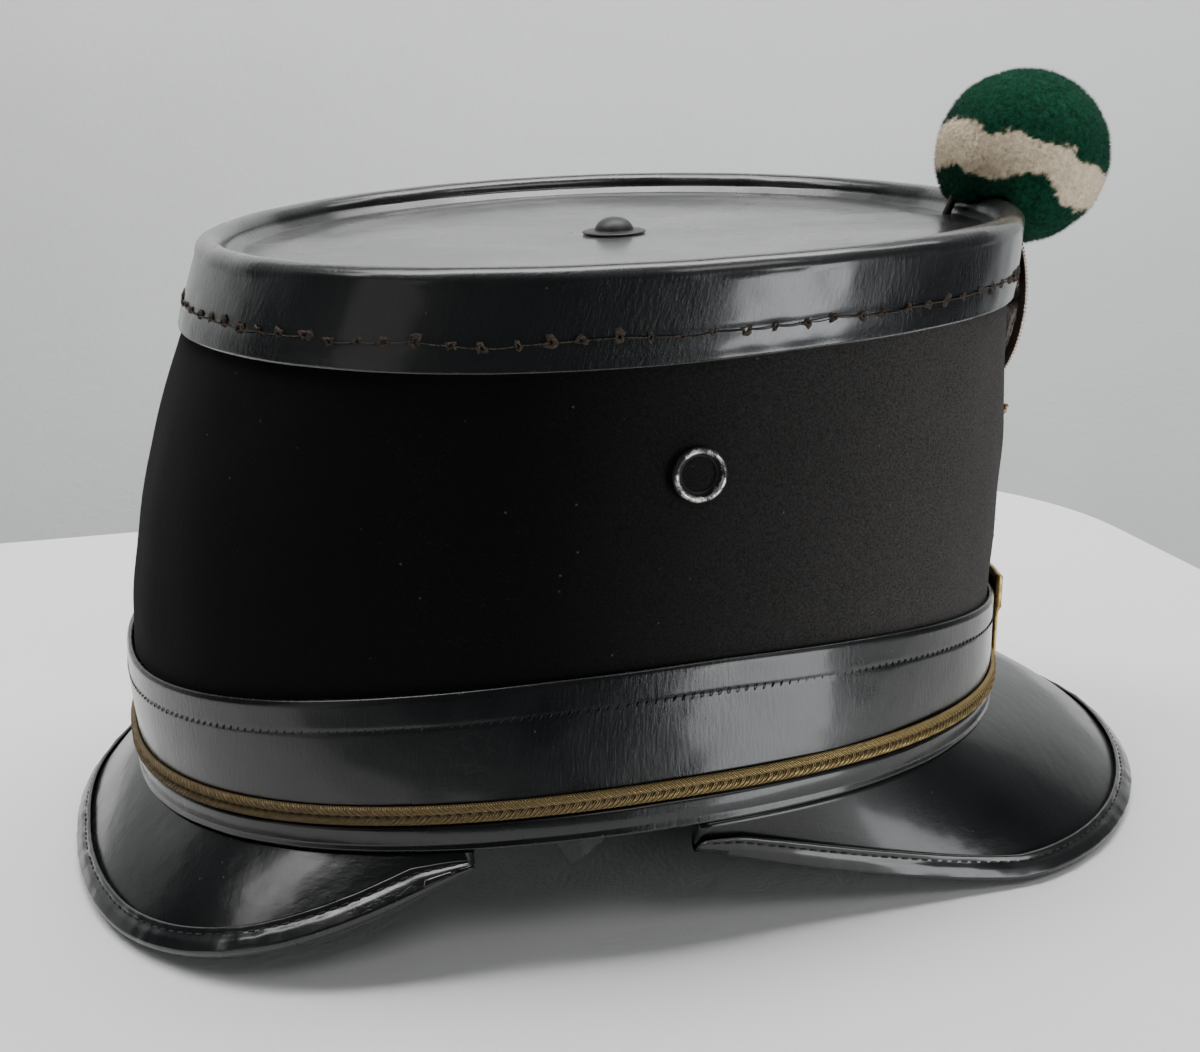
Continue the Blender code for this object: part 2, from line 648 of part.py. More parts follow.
def pin_frame():
    """Matrix of the pin: its axis meets the plate just inside the rim and leans into the ball."""
    edge = rim_points([plate_edge()], np.array((0.0,)))[0, 0]
    foot = Vector(edge) - Vector((PIN_INSET, 0.0, 0.0))
    return Matrix.Translation(foot) @ Matrix.Rotation(math.radians(PIN_LEAN), 4, "Y")


def build_pin(parts, material, parent):
    """Wire pin through the plate into the ball."""
    radius, top = PIN_DIAMETER / 2, PIN_IN_BALL * PIN_LENGTH
    foot = top - PIN_LENGTH
    profile = ((0.0, top), (radius, top), (radius, foot), (0.0, foot))
    pin = turned("pompom_pin", profile, SMALL_STEPS, parts, material, parent)
    pin.matrix_local = pin_frame()


def rim_cutter(cutters, parent):
    """Solid of the rim's front and all below it, one clearance larger, to press into the ball."""
    gap = 1.5 * CLEARANCE
    angles = ANGLES[np.abs(ANGLES) < PRESS_REACH]
    edge, depth = plate_edge()
    deep, far = -POMPOM_DIAMETER, edge - POMPOM_DIAMETER
    section = [(CAP_OUTSIDE + gap, deep)] + rim_arc(RIM_RADIUS + gap)
    section += [(edge - gap, depth + gap), (far, depth + gap), (far, deep)]
    rows = rim_points(section, angles)
    faces = grid_faces(len(section), len(angles), wrap_rows=True) + end_faces(len(section), len(angles))
    points = rows.reshape(-1, 3)
    return hide_cutter(add_object("rim_press", points, faces, cutters, None, parent, closed=True))


def build_pompom(parts, cutters, material, parent):
    """Wool ball in shallow tufts, pressed in by the rim and the cockade, on its pin."""
    columns, rings = 24, 16
    turns = np.linspace(0.0, 2 * math.pi, columns, endpoint=False)[None, :]
    lifts = np.linspace(-math.pi / 2, math.pi / 2, rings + 1)[1:-1, None]
    tufts = np.sin(6 * turns + 2 * lifts) * np.cos(7 * lifts)
    radius = POMPOM_DIAMETER / 2 - TUFT_DEPTH * (1 + tufts) / 2
    level = radius * np.cos(lifts)
    x, y, z = level * np.cos(turns), level * np.sin(turns), radius * np.sin(lifts)
    points = np.stack([x, y, z], axis=-1).reshape(-1, 3)
    pole = POMPOM_DIAMETER / 2 - TUFT_DEPTH / 2
    points = np.vstack([points, (0.0, 0.0, -pole), (0.0, 0.0, pole)]) + pompom_centre()
    faces = grid_faces(rings - 1, columns, wrap_columns=True)
    low, high, last = len(points) - 2, len(points) - 1, (rings - 2) * columns
    for column in range(columns):
        after = (column + 1) % columns
        faces.append((low, after, column))
        faces.append((high, last + column, last + after))
    ball = add_object("pompom", points, faces, parts, material, parent, closed=True)
    add_cut(ball, rim_cutter(cutters, parent))
    reach = POMPOM_DIAMETER / 2
    gap = 1.5 * CLEARANCE
    profile = cockade_face(gap) + [(COCKADE_DIAMETER / 2 + gap, -reach), (0.0, -reach)]
    press = hide_cutter(turned("cockade_press", profile, TURNED_STEPS, cutters, None, parent))
    press.matrix_local = cockade_frame()
    add_cut(ball, press)
    bore = PIN_DIAMETER / 2 + CLEARANCE
    top = PIN_IN_BALL * PIN_LENGTH + CLEARANCE
    profile = ((0.0, top), (bore, top), (bore, -top), (0.0, -top))
    drill = hide_cutter(turned("ball_bore", profile, SMALL_STEPS, cutters, None, parent))
    drill.matrix_local = pin_frame()
    add_cut(ball, drill)


def build_tab(parts, material, parent):
    """Corner of leather against the inside of the felt, with its point below the edge."""
    angles = RIGHT_SIDE + np.radians((TAB_LEFT, (TAB_LEFT + TAB_RIGHT) / 2, TAB_RIGHT))
    offset = -(FELT_WALL + CLEARANCE)
    upper = skin(TAB_RISE / BODY_HEIGHT, angles, offset)
    edge = skin(0.0, angles, offset)
    point = skin(0.0, RIGHT_SIDE + np.radians((TAB_POINT,)), offset) - UP * TAB_DROP
    points = np.vstack([point, edge, upper])
    faces = [(0, 2, 1), (0, 3, 2), (1, 2, 5, 4), (2, 3, 6, 5)]
    add_wall(add_object("leather_tab", points, faces, parts, material, parent), TAB_LEATHER, -1)


def centre_origin(root, parts):
    """Move the hat so that the origin lies below the middle of its length."""
    bpy.context.view_layer.update()
    graph = bpy.context.evaluated_depsgraph_get()
    reach = []
    for item in parts:
        mesh = item.evaluated_get(graph).to_mesh()
        corners = [(item.matrix_world @ vertex.co).x for vertex in mesh.vertices]
        reach += [min(corners), max(corners)]
    root.location.x = -(min(reach) + max(reach)) / 2


def main():
    """Model the hat piece by piece under one empty."""
    clear_scene()
    parts = new_collection("shako hat")
    cutters = new_collection("cutters")
    root = bpy.data.objects.new("shako", None)
    parts.objects.link(root)
    felt = new_material("black felt", (0.012, 0.012, 0.012), 0.95)
    patent = new_material("patent leather", (0.010, 0.011, 0.013), 0.12)
    cap_leather = new_material("cap leather", (0.020, 0.021, 0.023), 0.30)
    grey_leather = new_material("grey leather", (0.090, 0.090, 0.095), 0.60)
    braid = new_material("gold braid", (0.420, 0.320, 0.130), 0.45, 0.6)
    brass = new_material("brass", (0.550, 0.400, 0.160), 0.35, 1.0)
    bronze = new_material("bronze", (0.330, 0.240, 0.130), 0.45, 1.0)
    copper = new_material("coppered metal", (0.500, 0.400, 0.350), 0.35, 1.0)
    painted = new_material("worn paint", (0.030, 0.030, 0.030), 0.40, 0.5)
    wire = new_material("steel wire", (0.400, 0.400, 0.400), 0.35, 1.0)
    wool = new_material("green wool", (0.008, 0.060, 0.028), 0.95)
    build_felt(parts, cutters, felt, root)
    build_cap(parts, cutters, cap_leather, root)
    build_bands(parts, patent, braid, root)
    for name, front in (("front_peak", True), ("rear_peak", False)):
        build_peak(name, front, parts, patent, root)
        build_rim_binding(name + "_binding", front, parts, patent, root)
    build_eyelets(parts, painted, root)
    build_button(parts, painted, root)
    build_cockade(parts, copper, root)
    build_rifles(parts, cutters, bronze, root)
    build_front_plate(parts, brass, root)
    build_pin(parts, wire, root)
    build_pompom(parts, cutters, wool, root)
    build_tab(parts, grey_leather, root)
    centre_origin(root, [item for item in parts.objects if item.type == "MESH"])


main()
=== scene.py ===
"""Looks of the shako hat: fine surfaces, stitching, pile, materials, floor, light and camera.

Metres, +Z up, +X towards the front of the hat. Every piece is a numpy surface that follows the
same ovals as the solids, so it stands where its CAD node stands.
"""
import logging
import math
from dataclasses import dataclass
from enum import Enum

import bmesh
import bpy
import numpy as np
from mathutils import Matrix, Vector


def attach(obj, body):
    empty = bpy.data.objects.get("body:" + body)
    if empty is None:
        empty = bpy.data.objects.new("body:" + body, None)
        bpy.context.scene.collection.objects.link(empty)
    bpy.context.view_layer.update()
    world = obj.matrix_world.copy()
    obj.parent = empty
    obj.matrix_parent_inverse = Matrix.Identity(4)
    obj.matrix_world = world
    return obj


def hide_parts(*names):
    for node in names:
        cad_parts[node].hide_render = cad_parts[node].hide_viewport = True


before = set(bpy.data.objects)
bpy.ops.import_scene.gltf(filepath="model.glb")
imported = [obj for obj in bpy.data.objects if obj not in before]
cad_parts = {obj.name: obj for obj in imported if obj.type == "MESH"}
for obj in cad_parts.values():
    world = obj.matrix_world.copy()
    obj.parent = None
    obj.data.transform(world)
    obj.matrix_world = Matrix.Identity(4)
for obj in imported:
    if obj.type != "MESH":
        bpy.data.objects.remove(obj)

Array = np.ndarray
log = logging.getLogger("shako")
UP = np.array((0.0, 0.0, 1.0))
RIGHT_SIDE = -math.pi / 2


# Small surface tools

def unit(vectors: Array) -> Array:
    """Vectors scaled to length 1."""
    return vectors / np.maximum(np.linalg.norm(vectors, axis=-1, keepdims=True), 1e-12)


def ripples(points: Array, wavelength: float, seed: int, waves: int = 18) -> Array:
    """Smooth unevenness: the mean of sine waves with random directions and phases.

    Args:
        points: positions, any shape ending in 3.
        wavelength: middle wavelength in metres.
        seed: makes the pattern repeat from run to run.
        waves: how many sines are added.

    Returns:
        Values of about -1 to 1 with the shape of the positions.
    """
    rng = np.random.default_rng(seed)
    turns = unit(rng.normal(size=(waves, 3))) * (2 * math.pi / wavelength)
    turns *= rng.uniform(0.6, 1.7, (waves, 1))
    phases = rng.uniform(0, 2 * math.pi, waves)
    return np.sin(points @ turns.T + phases).sum(axis=-1) * (1.6 / waves ** 0.5 / 1.5)


def spread(points: Array, count: int, power: float = 1.0) -> Array:
    """Points along a polyline at equal distances, or closer at its end with a power under 1."""
    lengths = run_of(points)
    wanted = lengths[-1] * np.linspace(0.0, 1.0, count) ** power
    return np.stack([np.interp(wanted, lengths, points[:, axis]) for axis in range(3)], axis=-1)


def run_of(line: Array, closed: bool = False) -> Array:
    """Distance along a line at each of its points, and at its return to the start if closed."""
    ring = np.vstack([line, line[:1]]) if closed else line
    return np.concatenate([[0.0], np.cumsum(np.linalg.norm(np.diff(ring, axis=0), axis=1))])


def new_mesh(name: str, points: Array, faces: list) -> bpy.types.Object:
    """A smooth shaded mesh object at the origin, linked to the scene.

    Args:
        name: name of the object and its mesh.
        points: vertices, count by 3.
        faces: vertex numbers of each face.

    Returns:
        The object.
    """
    mesh = bpy.data.meshes.new(name)
    mesh.from_pydata(points.tolist(), [], faces)
    mesh.shade_smooth()
    made = bpy.data.objects.new(name, mesh)
    bpy.context.scene.collection.objects.link(made)
    return made


def lay_uv(mesh: bpy.types.Mesh, u: Array, v: Array, place: Array) -> None:
    """Give a grid its UV map in metres; faces added after the grid's own stay at the map's origin.

    Args:
        mesh: the grid's mesh.
        u: distance along the columns.
        v: distance along the rows.
        place: (row, column) of each corner of the grid's faces.
    """
    layer = mesh.uv_layers.new(name="UVMap")
    known = np.stack([u[place[..., 1]], v[place[..., 0]]], axis=-1).reshape(-1, 2)
    full = np.zeros((len(layer.data), 2))
    full[:len(known)] = known
    layer.data.foreach_set("uv", full.ravel())


def mesh_piece(name: str, points: Array, faces: Array | list,
               inside: Array | None = None) -> bpy.types.Object:
    """A mesh object whose faces look away from its inside.

    Args:
        name: name of the piece.
        points: vertices, count by 3.
        faces: vertex numbers of each face.
        inside: a point behind the surface; the middle of the piece if left out.

    Returns:
        The object, at the origin, linked to the scene.
    """
    points = np.asarray(points, float).reshape(-1, 3)
    faces = np.asarray(faces)
    corners = points[faces]
    normal = np.cross(corners[:, 1] - corners[:, 0], corners[:, -1] - corners[:, 0])
    behind = points.mean(axis=0) if inside is None else np.asarray(inside, float)
    if ((corners.mean(axis=1) - behind) * normal).sum() < 0:
        faces = faces[:, ::-1]
    return new_mesh(name, points, faces.tolist())


def grid_index(rows: int, columns: int, wrap_rows: bool, wrap_columns: bool) -> tuple[Array, Array]:
    """Quads over a grid of points, and the row and column of each corner before wrapping.

    Args:
        rows: rows of points.
        columns: columns of points.
        wrap_rows: whether the last row joins the first.
        wrap_columns: whether the last column joins the first.

    Returns:
        Vertex numbers, faces by 4, and (row, column) of the same corners, faces by 4 by 2.
    """
    row, column = np.meshgrid(np.arange(rows if wrap_rows else rows - 1),
                              np.arange(columns if wrap_columns else columns - 1), indexing="ij")
    place = np.stack([np.stack([row, column], -1), np.stack([row, column + 1], -1),
                      np.stack([row + 1, column + 1], -1), np.stack([row + 1, column], -1)], axis=2)
    place = place.reshape(-1, 4, 2)
    return (place[..., 0] % rows) * columns + place[..., 1] % columns, place


def grid_piece(name: str, points: Array, wrap_rows: bool = False, wrap_columns: bool = False,
               u: Array | None = None, v: Array | None = None, inside: Array | None = None,
               ends: bool = False) -> bpy.types.Object:
    """A surface over a grid of points, with a UV map in metres where its lines are given.

    Args:
        name: name of the piece.
        points: rows by columns by 3.
        wrap_rows: whether the last row joins the first.
        wrap_columns: whether the last column joins the first.
        u: distance along the columns, one more than the columns where they wrap.
        v: distance along the rows, one more than the rows where they wrap.
        inside: a point behind the surface.
        ends: whether a section that wraps is closed at its first and last column.

    Returns:
        The piece.
    """
    rows, columns = points.shape[:2]
    faces, place = grid_index(rows, columns, wrap_rows, wrap_columns)
    flat = points.reshape(-1, 3)
    corners = flat[faces]
    normal = np.cross(corners[:, 1] - corners[:, 0], corners[:, 3] - corners[:, 0])
    behind = flat.mean(axis=0) if inside is None else np.asarray(inside, float)
    if wrap_rows and inside is None:
        behind = np.repeat(points.mean(axis=0)[None], rows, axis=0).reshape(-1, 3)[faces].mean(axis=1)
    if ((corners.mean(axis=1) - behind) * normal).sum() < 0:
        faces, place = faces[:, ::-1], place[:, ::-1]
    listed = faces.tolist()
    if ends:
        first = (np.arange(rows) * columns).tolist()
        last = [number + columns - 1 for number in first]
        listed += [first, last[::-1]]
    made = new_mesh(name, flat, listed)
    if ends:
        made.data.validate()
    if u is not None and v is not None:
        lay_uv(made.data, u, v, place)
    return made


def set_mask(item: bpy.types.Object, name: str, values: Array) -> None:
    """Store a number for each vertex under a name that the materials read."""
    layer = item.data.attributes.new(name, "FLOAT", "POINT")
    layer.data.foreach_set("value", np.asarray(values, np.float32).ravel())


def add_wall(item: bpy.types.Object, thickness: float, side: float) -> bpy.types.Object:
    """Give an open surface its thickness: side 1 outwards, -1 inwards, 0 both ways."""
    wall = item.modifiers.new("wall", "SOLIDIFY")
    wall.thickness, wall.offset, wall.use_even_offset = thickness, side, True
    return item


def strands(name: str, lines: Array, radii: Array, sides: int = 5) -> bpy.types.Object:
    """Many round strands in one mesh, each a circle carried along its own line, ends closed.

    Args:
        name: name of the piece.
        lines: strands by points by 3.
        radii: strands by points, the radius at each point.
        sides: corners of the section.

    Returns:
        The piece.
    """
    count, length = lines.shape[:2]
    along = unit(np.gradient(lines, axis=1))
    across = unit(np.cross(along, np.where(np.abs(along[..., 2:]) > 0.9, (1.0, 0.0, 0.0), UP)))
    other = np.cross(along, across)
    turn = np.linspace(0, 2 * math.pi, sides, endpoint=False)
    ring = (across[:, :, None] * np.cos(turn)[:, None] + other[:, :, None] * np.sin(turn)[:, None])
    points = lines[:, :, None] + ring * radii[:, :, None, None]
    step, side = np.meshgrid(np.arange(length - 1), np.arange(sides), indexing="ij")
    after = (side + 1) % sides
    quads = np.stack([step * sides + side, step * sides + after,
                      (step + 1) * sides + after, (step + 1) * sides + side], -1).reshape(-1, 4)
    caps = [list(range(sides))[::-1], list(range((length - 1) * sides, length * sides))]
    start = (np.arange(count) * length * sides)[:, None, None]
    body = (quads[None] + start).reshape(-1, 4).tolist()
    closing = (np.array(caps)[None] + start).reshape(-1, sides).tolist()
    return new_mesh(name, points.reshape(-1, 3), body + closing)


def spikes(roots: Array, tips: Array, radius: Array) -> tuple[Array, Array]:
    """Thin three-sided cones for fibres.

    Args:
        roots: fibres by 3.
        tips: fibres by 3.
        radius: radius at the root, one for each fibre.

    Returns:
        Vertices and triangles.
    """
    along = unit(tips - roots)
    across = unit(np.cross(along, UP + 0.01))
    other = np.cross(along, across)
    turn = np.array((0.0, 2.094, 4.189))
    ring = across[:, None] * np.cos(turn)[:, None] + other[:, None] * np.sin(turn)[:, None]
    points = np.concatenate([roots[:, None] + ring * radius[:, None, None], tips[:, None]], axis=1)
    shape = np.array(((0, 1, 3), (1, 2, 3), (2, 0, 3)))
    faces = shape[None] + (np.arange(len(roots)) * 4)[:, None, None]
    return points.reshape(-1, 3), faces.reshape(-1, 3)


def stamped(shape: Array, faces: list, frames: Array) -> tuple[Array, list]:
    """A small shape copied to many frames, as one set of vertices and faces.

    Args:
        shape: vertices of the shape, or copies by vertices by 3 where each copy differs.
        faces: its faces, all with the same number of corners.
        frames: copies by 4 by 4.

    Returns:
        Vertices and faces.
    """
    shape = np.broadcast_to(shape, (len(frames), *np.shape(shape)[-2:]))
    points = np.einsum("nij,nkj->nki", frames[:, :3, :3], shape) + frames[:, None, :3, 3]
    size = shape.shape[1]
    moved = np.array(faces)[None] + (np.arange(len(frames)) * size)[:, None, None]
    return points.reshape(-1, 3), moved.reshape(-1, moved.shape[-1]).tolist()


def frames_from(points: Array, side: Array, out: Array) -> Array:
    """Frames whose X lies along a side direction and whose Z points outwards."""
    out = unit(out)
    side = unit(side - out * (side * out).sum(-1, keepdims=True))
    made = np.zeros((len(points), 4, 4))
    made[:, :3, 0], made[:, :3, 1], made[:, :3, 2] = side, np.cross(out, side), out
    made[:, :3, 3], made[:, 3, 3] = points, 1.0
    return made


def turned(profile: Array, steps: int, place: Array, wave: Array | None = None) -> Array:
    """A profile of (radius, height) rows turned about Z and put in a frame, rows by steps by 3."""
    turn = np.linspace(0, 2 * math.pi, steps, endpoint=False)
    radius = profile[:, :1] + (0.0 if wave is None else wave)
    local = np.stack([radius * np.cos(turn), radius * np.sin(turn),
                      np.broadcast_to(profile[:, 1:], (len(profile), steps))], axis=-1)
    return local @ place[:3, :3].T + place[:3, 3]


def show(item: bpy.types.Object, material: bpy.types.Material | list, slot: str,
         *nodes: str) -> bpy.types.Object:
    """Dress a piece, let it stand for CAD nodes and ride on the hat.

    Args:
        item: the piece.
        material: its material, or several that its faces point at.
        slot: the record's material slot; not used.
        nodes: CAD nodes that it stands for.

    Returns:
        The piece.
    """
    item.data.materials.clear()
    for one in material if isinstance(material, list) else [material]:
        item.data.materials.append(one)
    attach(item, "root")
    if nodes:
        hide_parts(*nodes)
    log.info("%s: %d faces", item.name, len(item.data.polygons))
    return item


# Materials

class Bench:
    """Puts nodes in a tree and links them by socket name."""

    def __init__(self, tree: bpy.types.NodeTree) -> None:
        """Keep the tree that is worked on."""
        self.tree = tree

    def add(self, kind: str, sockets: dict | None = None, **settings: object) -> bpy.types.Node:
        """A node with its settings, whose inputs are set to values or linked to outputs.

        Args:
            kind: the node's type name.
            sockets: input name or number to a value or an output socket.
            settings: properties of the node.

        Returns:
            The node.
        """
        made = self.tree.nodes.new(kind)
        for name, value in settings.items():
            setattr(made, name, value)
        for name, value in (sockets or {}).items():
            self.put(made.inputs[name], value)
        return made

    def put(self, socket: bpy.types.NodeSocket, value: object) -> None:
        """Link an output to a socket, or set the socket to a value."""
        if isinstance(value, bpy.types.NodeSocket):
            self.tree.links.new(value, socket)
        else:
            socket.default_value = value

    def noise(self, place: object, scale: object, detail: float, roughness: float = 0.5) -> bpy.types.Node:
        """A noise texture at a position."""
        return self.add("ShaderNodeTexNoise",
                        {"Vector": place, "Scale": scale, "Detail": detail, "Roughness": roughness})

    def sum(self, *parts: object, how: str = "ADD", clamp: bool = False) -> bpy.types.NodeSocket:
        """Parts joined one after the other by a math operation."""
        total = parts[0]
        for part in parts[1:]:
            total = self.add("ShaderNodeMath", {0: total, 1: part}, operation=how,
                             use_clamp=clamp).outputs[0]
        return total

    def times(self, *parts: object) -> bpy.types.NodeSocket:
        """Parts multiplied by each other."""
        return self.sum(*parts, how="MULTIPLY")

    def ramp(self, value: object, low: float, high: float, first: float = 0.0,
             last: float = 1.0) -> bpy.types.NodeSocket:
        """A value moved smoothly from one range to another."""
        sockets = {"Value": value, "From Min": low, "From Max": high, "To Min": first, "To Max": last}
        made = self.add("ShaderNodeMapRange", sockets, interpolation_type="SMOOTHSTEP")
        return made.outputs["Result"]

    def mix(self, share: object, first: object, second: object) -> bpy.types.NodeSocket:
        """Two colours mixed by a share."""
        made = self.add("ShaderNodeMix", data_type="RGBA")
        for number, value in ((0, share), (6, first), (7, second)):
            opaque = isinstance(value, tuple) and len(value) == 3
            self.put(made.inputs[number], (*value, 1.0) if opaque else value)
        return made.outputs[2]


class Effect(Enum):
    """Surface effects that several materials share, each a node group."""

    GRAIN = "fine grain"
    CRACKS = "dried cracks"
    LINT = "lint and dust"
    WEAR = "rubbed wear"


def new_group(effect: Effect, numbers: dict[str, float],
              results: tuple[str, ...]) -> tuple[Bench, dict, dict]:
    """An empty node group that reads a position and some numbers.

    Args:
        effect: which effect it holds.
        numbers: name and value of each number that it reads.
        results: names of what it puts out.

    Returns:
        A bench in the group, its input sockets by name, and its output sockets by name.
    """
    tree = bpy.data.node_groups.new(effect.value, "ShaderNodeTree")
    tree.interface.new_socket("Position", in_out="INPUT", socket_type="NodeSocketVector")
    for name, value in numbers.items():
        tree.interface.new_socket(name, in_out="INPUT", socket_type="NodeSocketFloat").default_value = value
    for name in results:
        tree.interface.new_socket(name, in_out="OUTPUT", socket_type="NodeSocketFloat")
    start, end = tree.nodes.new("NodeGroupInput"), tree.nodes.new("NodeGroupOutput")
    given = {socket.name: socket for socket in start.outputs if socket.name}
    wanted = {socket.name: socket for socket in end.inputs if socket.name}
    return Bench(tree), given, wanted


def build_effects() -> dict[Effect, bpy.types.NodeTree]:
    """The shared effects: grain, dried cracks, lint and rubbed wear.

    Returns:
        Each effect's node group.
    """
    groups: dict[Effect, bpy.types.NodeTree] = {}
    # Grain: two noises, the second four times as fine and half as strong
    bench, read, give = new_group(Effect.GRAIN, {"Scale": 800.0}, ("Height", "Patches"))
    coarse = bench.noise(read["Position"], read["Scale"], 4.0, 0.6)
    fine_scale = bench.times(read["Scale"], 4.1)
    fine = bench.noise(read["Position"], fine_scale, 2.0)
    half = bench.times(fine.outputs[0], 0.5)
    bench.tree.links.new(bench.sum(coarse.outputs[0], half), give["Height"])
    broad_scale = bench.times(read["Scale"], 0.04)
    broad = bench.noise(read["Position"], broad_scale, 3.0)
    bench.tree.links.new(bench.ramp(broad.outputs[0], 0.36, 0.66), give["Patches"])
    groups[Effect.GRAIN] = bench.tree
    # Cracks: narrow lines along the borders of cells, kept where a broad noise is high
    bench, read, give = new_group(Effect.CRACKS, {"Scale": 300.0, "Width": 0.05, "Cover": 0.5}, ("Line",))
    shake = bench.noise(read["Position"], read["Scale"], 2.0)
    moved = bench.add("ShaderNodeVectorMath", {0: shake.outputs[1], 1: (0.004, 0.004, 0.004)},
                      operation="MULTIPLY")
    place = bench.add("ShaderNodeVectorMath", {0: read["Position"], 1: moved.outputs[0]}, operation="ADD")
    cells = bench.add("ShaderNodeTexVoronoi", {"Vector": place.outputs[0], "Scale": read["Scale"]},
                      feature="DISTANCE_TO_EDGE")
    line = bench.sum(1.0, bench.sum(cells.outputs["Distance"], read["Width"], how="DIVIDE"), how="SUBTRACT",
                     clamp=True)
    broad_scale = bench.times(read["Scale"], 0.16)
    broad = bench.noise(read["Position"], broad_scale, 2.0)
    kept = bench.sum(bench.sum(broad.outputs[0], read["Cover"]), 1.0, how="SUBTRACT")
    kept = bench.ramp(kept, 0.0, 0.12)
    bench.tree.links.new(bench.times(line, kept), give["Line"])
    groups[Effect.CRACKS] = bench.tree
    # Lint: the middles of those cells whose random value is high
    bench, read, give = new_group(Effect.LINT, {"Scale": 400.0, "Amount": 0.1, "Size": 0.12}, ("Speck",))
    cells = bench.add("ShaderNodeTexVoronoi", {"Vector": read["Position"], "Scale": read["Scale"]})
    near = bench.sum(1.0, bench.sum(cells.outputs["Distance"], read["Size"], how="DIVIDE"), how="SUBTRACT",
                     clamp=True)
    split = bench.add("ShaderNodeSeparateColor", {0: cells.outputs["Color"]})
    chosen = bench.sum(split.outputs[0], bench.sum(1.0, read["Amount"], how="SUBTRACT"), how="GREATER_THAN")
    bench.tree.links.new(bench.times(near, chosen), give["Speck"])
    groups[Effect.LINT] = bench.tree
    # Wear: a mask that eats in where the stored wear plus a noise is high
    bench, read, give = new_group(Effect.WEAR, {"Scale": 900.0, "Wear": 0.0}, ("Rubbed",))
    noise = bench.noise(read["Position"], read["Scale"], 5.0, 0.7)
    bench.tree.links.new(bench.ramp(bench.sum(noise.outputs[0], read["Wear"]), 0.95, 1.15), give["Rubbed"])
    groups[Effect.WEAR] = bench.tree
    return groups


EFFECTS = build_effects()


class Paint:
    """A material on the bench: its shader, object position, own UV and the shared effects."""

    def __init__(self, name: str, **sockets: object) -> None:
        """Start a material and set the constants of its shader.

        Args:
            name: name of the material.
            sockets: shader inputs, with _ for a space.
        """
        self.material = bpy.data.materials.new(name)
        self.material.use_nodes = True
        self.bench = Bench(self.material.node_tree)
        self.shader = self.material.node_tree.nodes["Principled BSDF"]
        for key, value in sockets.items():
            self.shader.inputs[key.replace("_", " ")].default_value = value
        place = self.bench.add("ShaderNodeTexCoord")
        self.position, self.uv = place.outputs["Object"], place.outputs["UV"]

    def effect(self, kind: Effect, position: object = None, **numbers: object) -> bpy.types.Node:
        """One of the shared effects with this material's own numbers."""
        sockets = {"Position": position or self.position, **numbers}
        return self.bench.add("ShaderNodeGroup", sockets, node_tree=EFFECTS[kind])

    def mask(self, name: str) -> bpy.types.NodeSocket:
        """A number that the piece stores for each vertex."""
        return self.bench.add("ShaderNodeAttribute", attribute_name=name).outputs["Fac"]

    def feed(self, name: str, value: bpy.types.NodeSocket) -> None:
        """Link a value to the shader."""
        self.bench.tree.links.new(value, self.shader.inputs[name])

    def bump(self, height: bpy.types.NodeSocket) -> None:
        """Use a height in metres as the surface's relief."""
        made = self.bench.add("ShaderNodeBump", {"Height": height, "Strength": 1.0, "Distance": 1.0})
        self.feed("Normal", made.outputs["Normal"])


@dataclass(frozen=True)
class Leather:
    """Black leather: patent, satin or worn, with grain, fine creases, cracks, wear and dust.

    Grain, crease and crack are heights in metres.
    """

    name: str
    colour: tuple[float, float, float] = (0.0022, 0.0025, 0.0028)
    worn: tuple[float, float, float] = (0.060, 0.048, 0.036)
    roughness: float = 0.24
    smudge: float = 0.14
    shine: float = 0.35
    coat: float = 0.6
    coat_roughness: float = 0.10
    grain: float = 0.000012
    grain_scale: float = 700.0
    crease: float = 0.00005
    crease_scale: tuple[float, float] = (900.0, 260.0)
    crack: float = 0.000015
    crack_scale: float = 260.0
    crack_cover: float = 0.45
    dust: float = 0.05

    def make(self) -> bpy.types.Material:
        """Build the material."""
        paint = Paint(self.name, Coat_Weight=self.coat, Coat_Roughness=self.coat_roughness,
                      Specular_IOR_Level=self.shine)
        bench = paint.bench
        grain = paint.effect(Effect.GRAIN, Scale=self.grain_scale)
        cracks = paint.effect(Effect.CRACKS, Scale=self.crack_scale, Width=0.06, Cover=self.crack_cover)
        rubbed = paint.effect(Effect.WEAR, Scale=700.0, Wear=paint.mask("wear"))
        lint = paint.effect(Effect.LINT, Scale=420.0, Amount=self.dust, Size=0.10)
        along = bench.add("ShaderNodeMapping", {"Vector": paint.uv, "Scale": (*self.crease_scale, 1.0)})
        creases = bench.noise(along.outputs[0], 1.0, 4.0, 0.65)
        colour = bench.mix(rubbed.outputs[0], self.colour, self.worn)
        colour = bench.mix(bench.times(cracks.outputs[0], 0.5), colour, (0.008, 0.007, 0.006))
        colour = bench.mix(bench.times(lint.outputs[0], 0.5), colour, (0.22, 0.21, 0.20))
        paint.feed("Base Color", colour)
        base = bench.ramp(grain.outputs["Patches"], 0.0, 1.0, self.roughness, self.roughness + self.smudge)
        base = bench.sum(base, bench.times(rubbed.outputs[0], 0.35), clamp=True)
        paint.feed("Roughness", base)
        paint.bump(bench.sum(bench.times(grain.outputs["Height"], self.grain),
                             bench.times(creases.outputs[0], self.crease),
                             bench.times(cracks.outputs[0], -self.crack),
                             bench.times(rubbed.outputs[0], -0.00004)))
        return paint.material


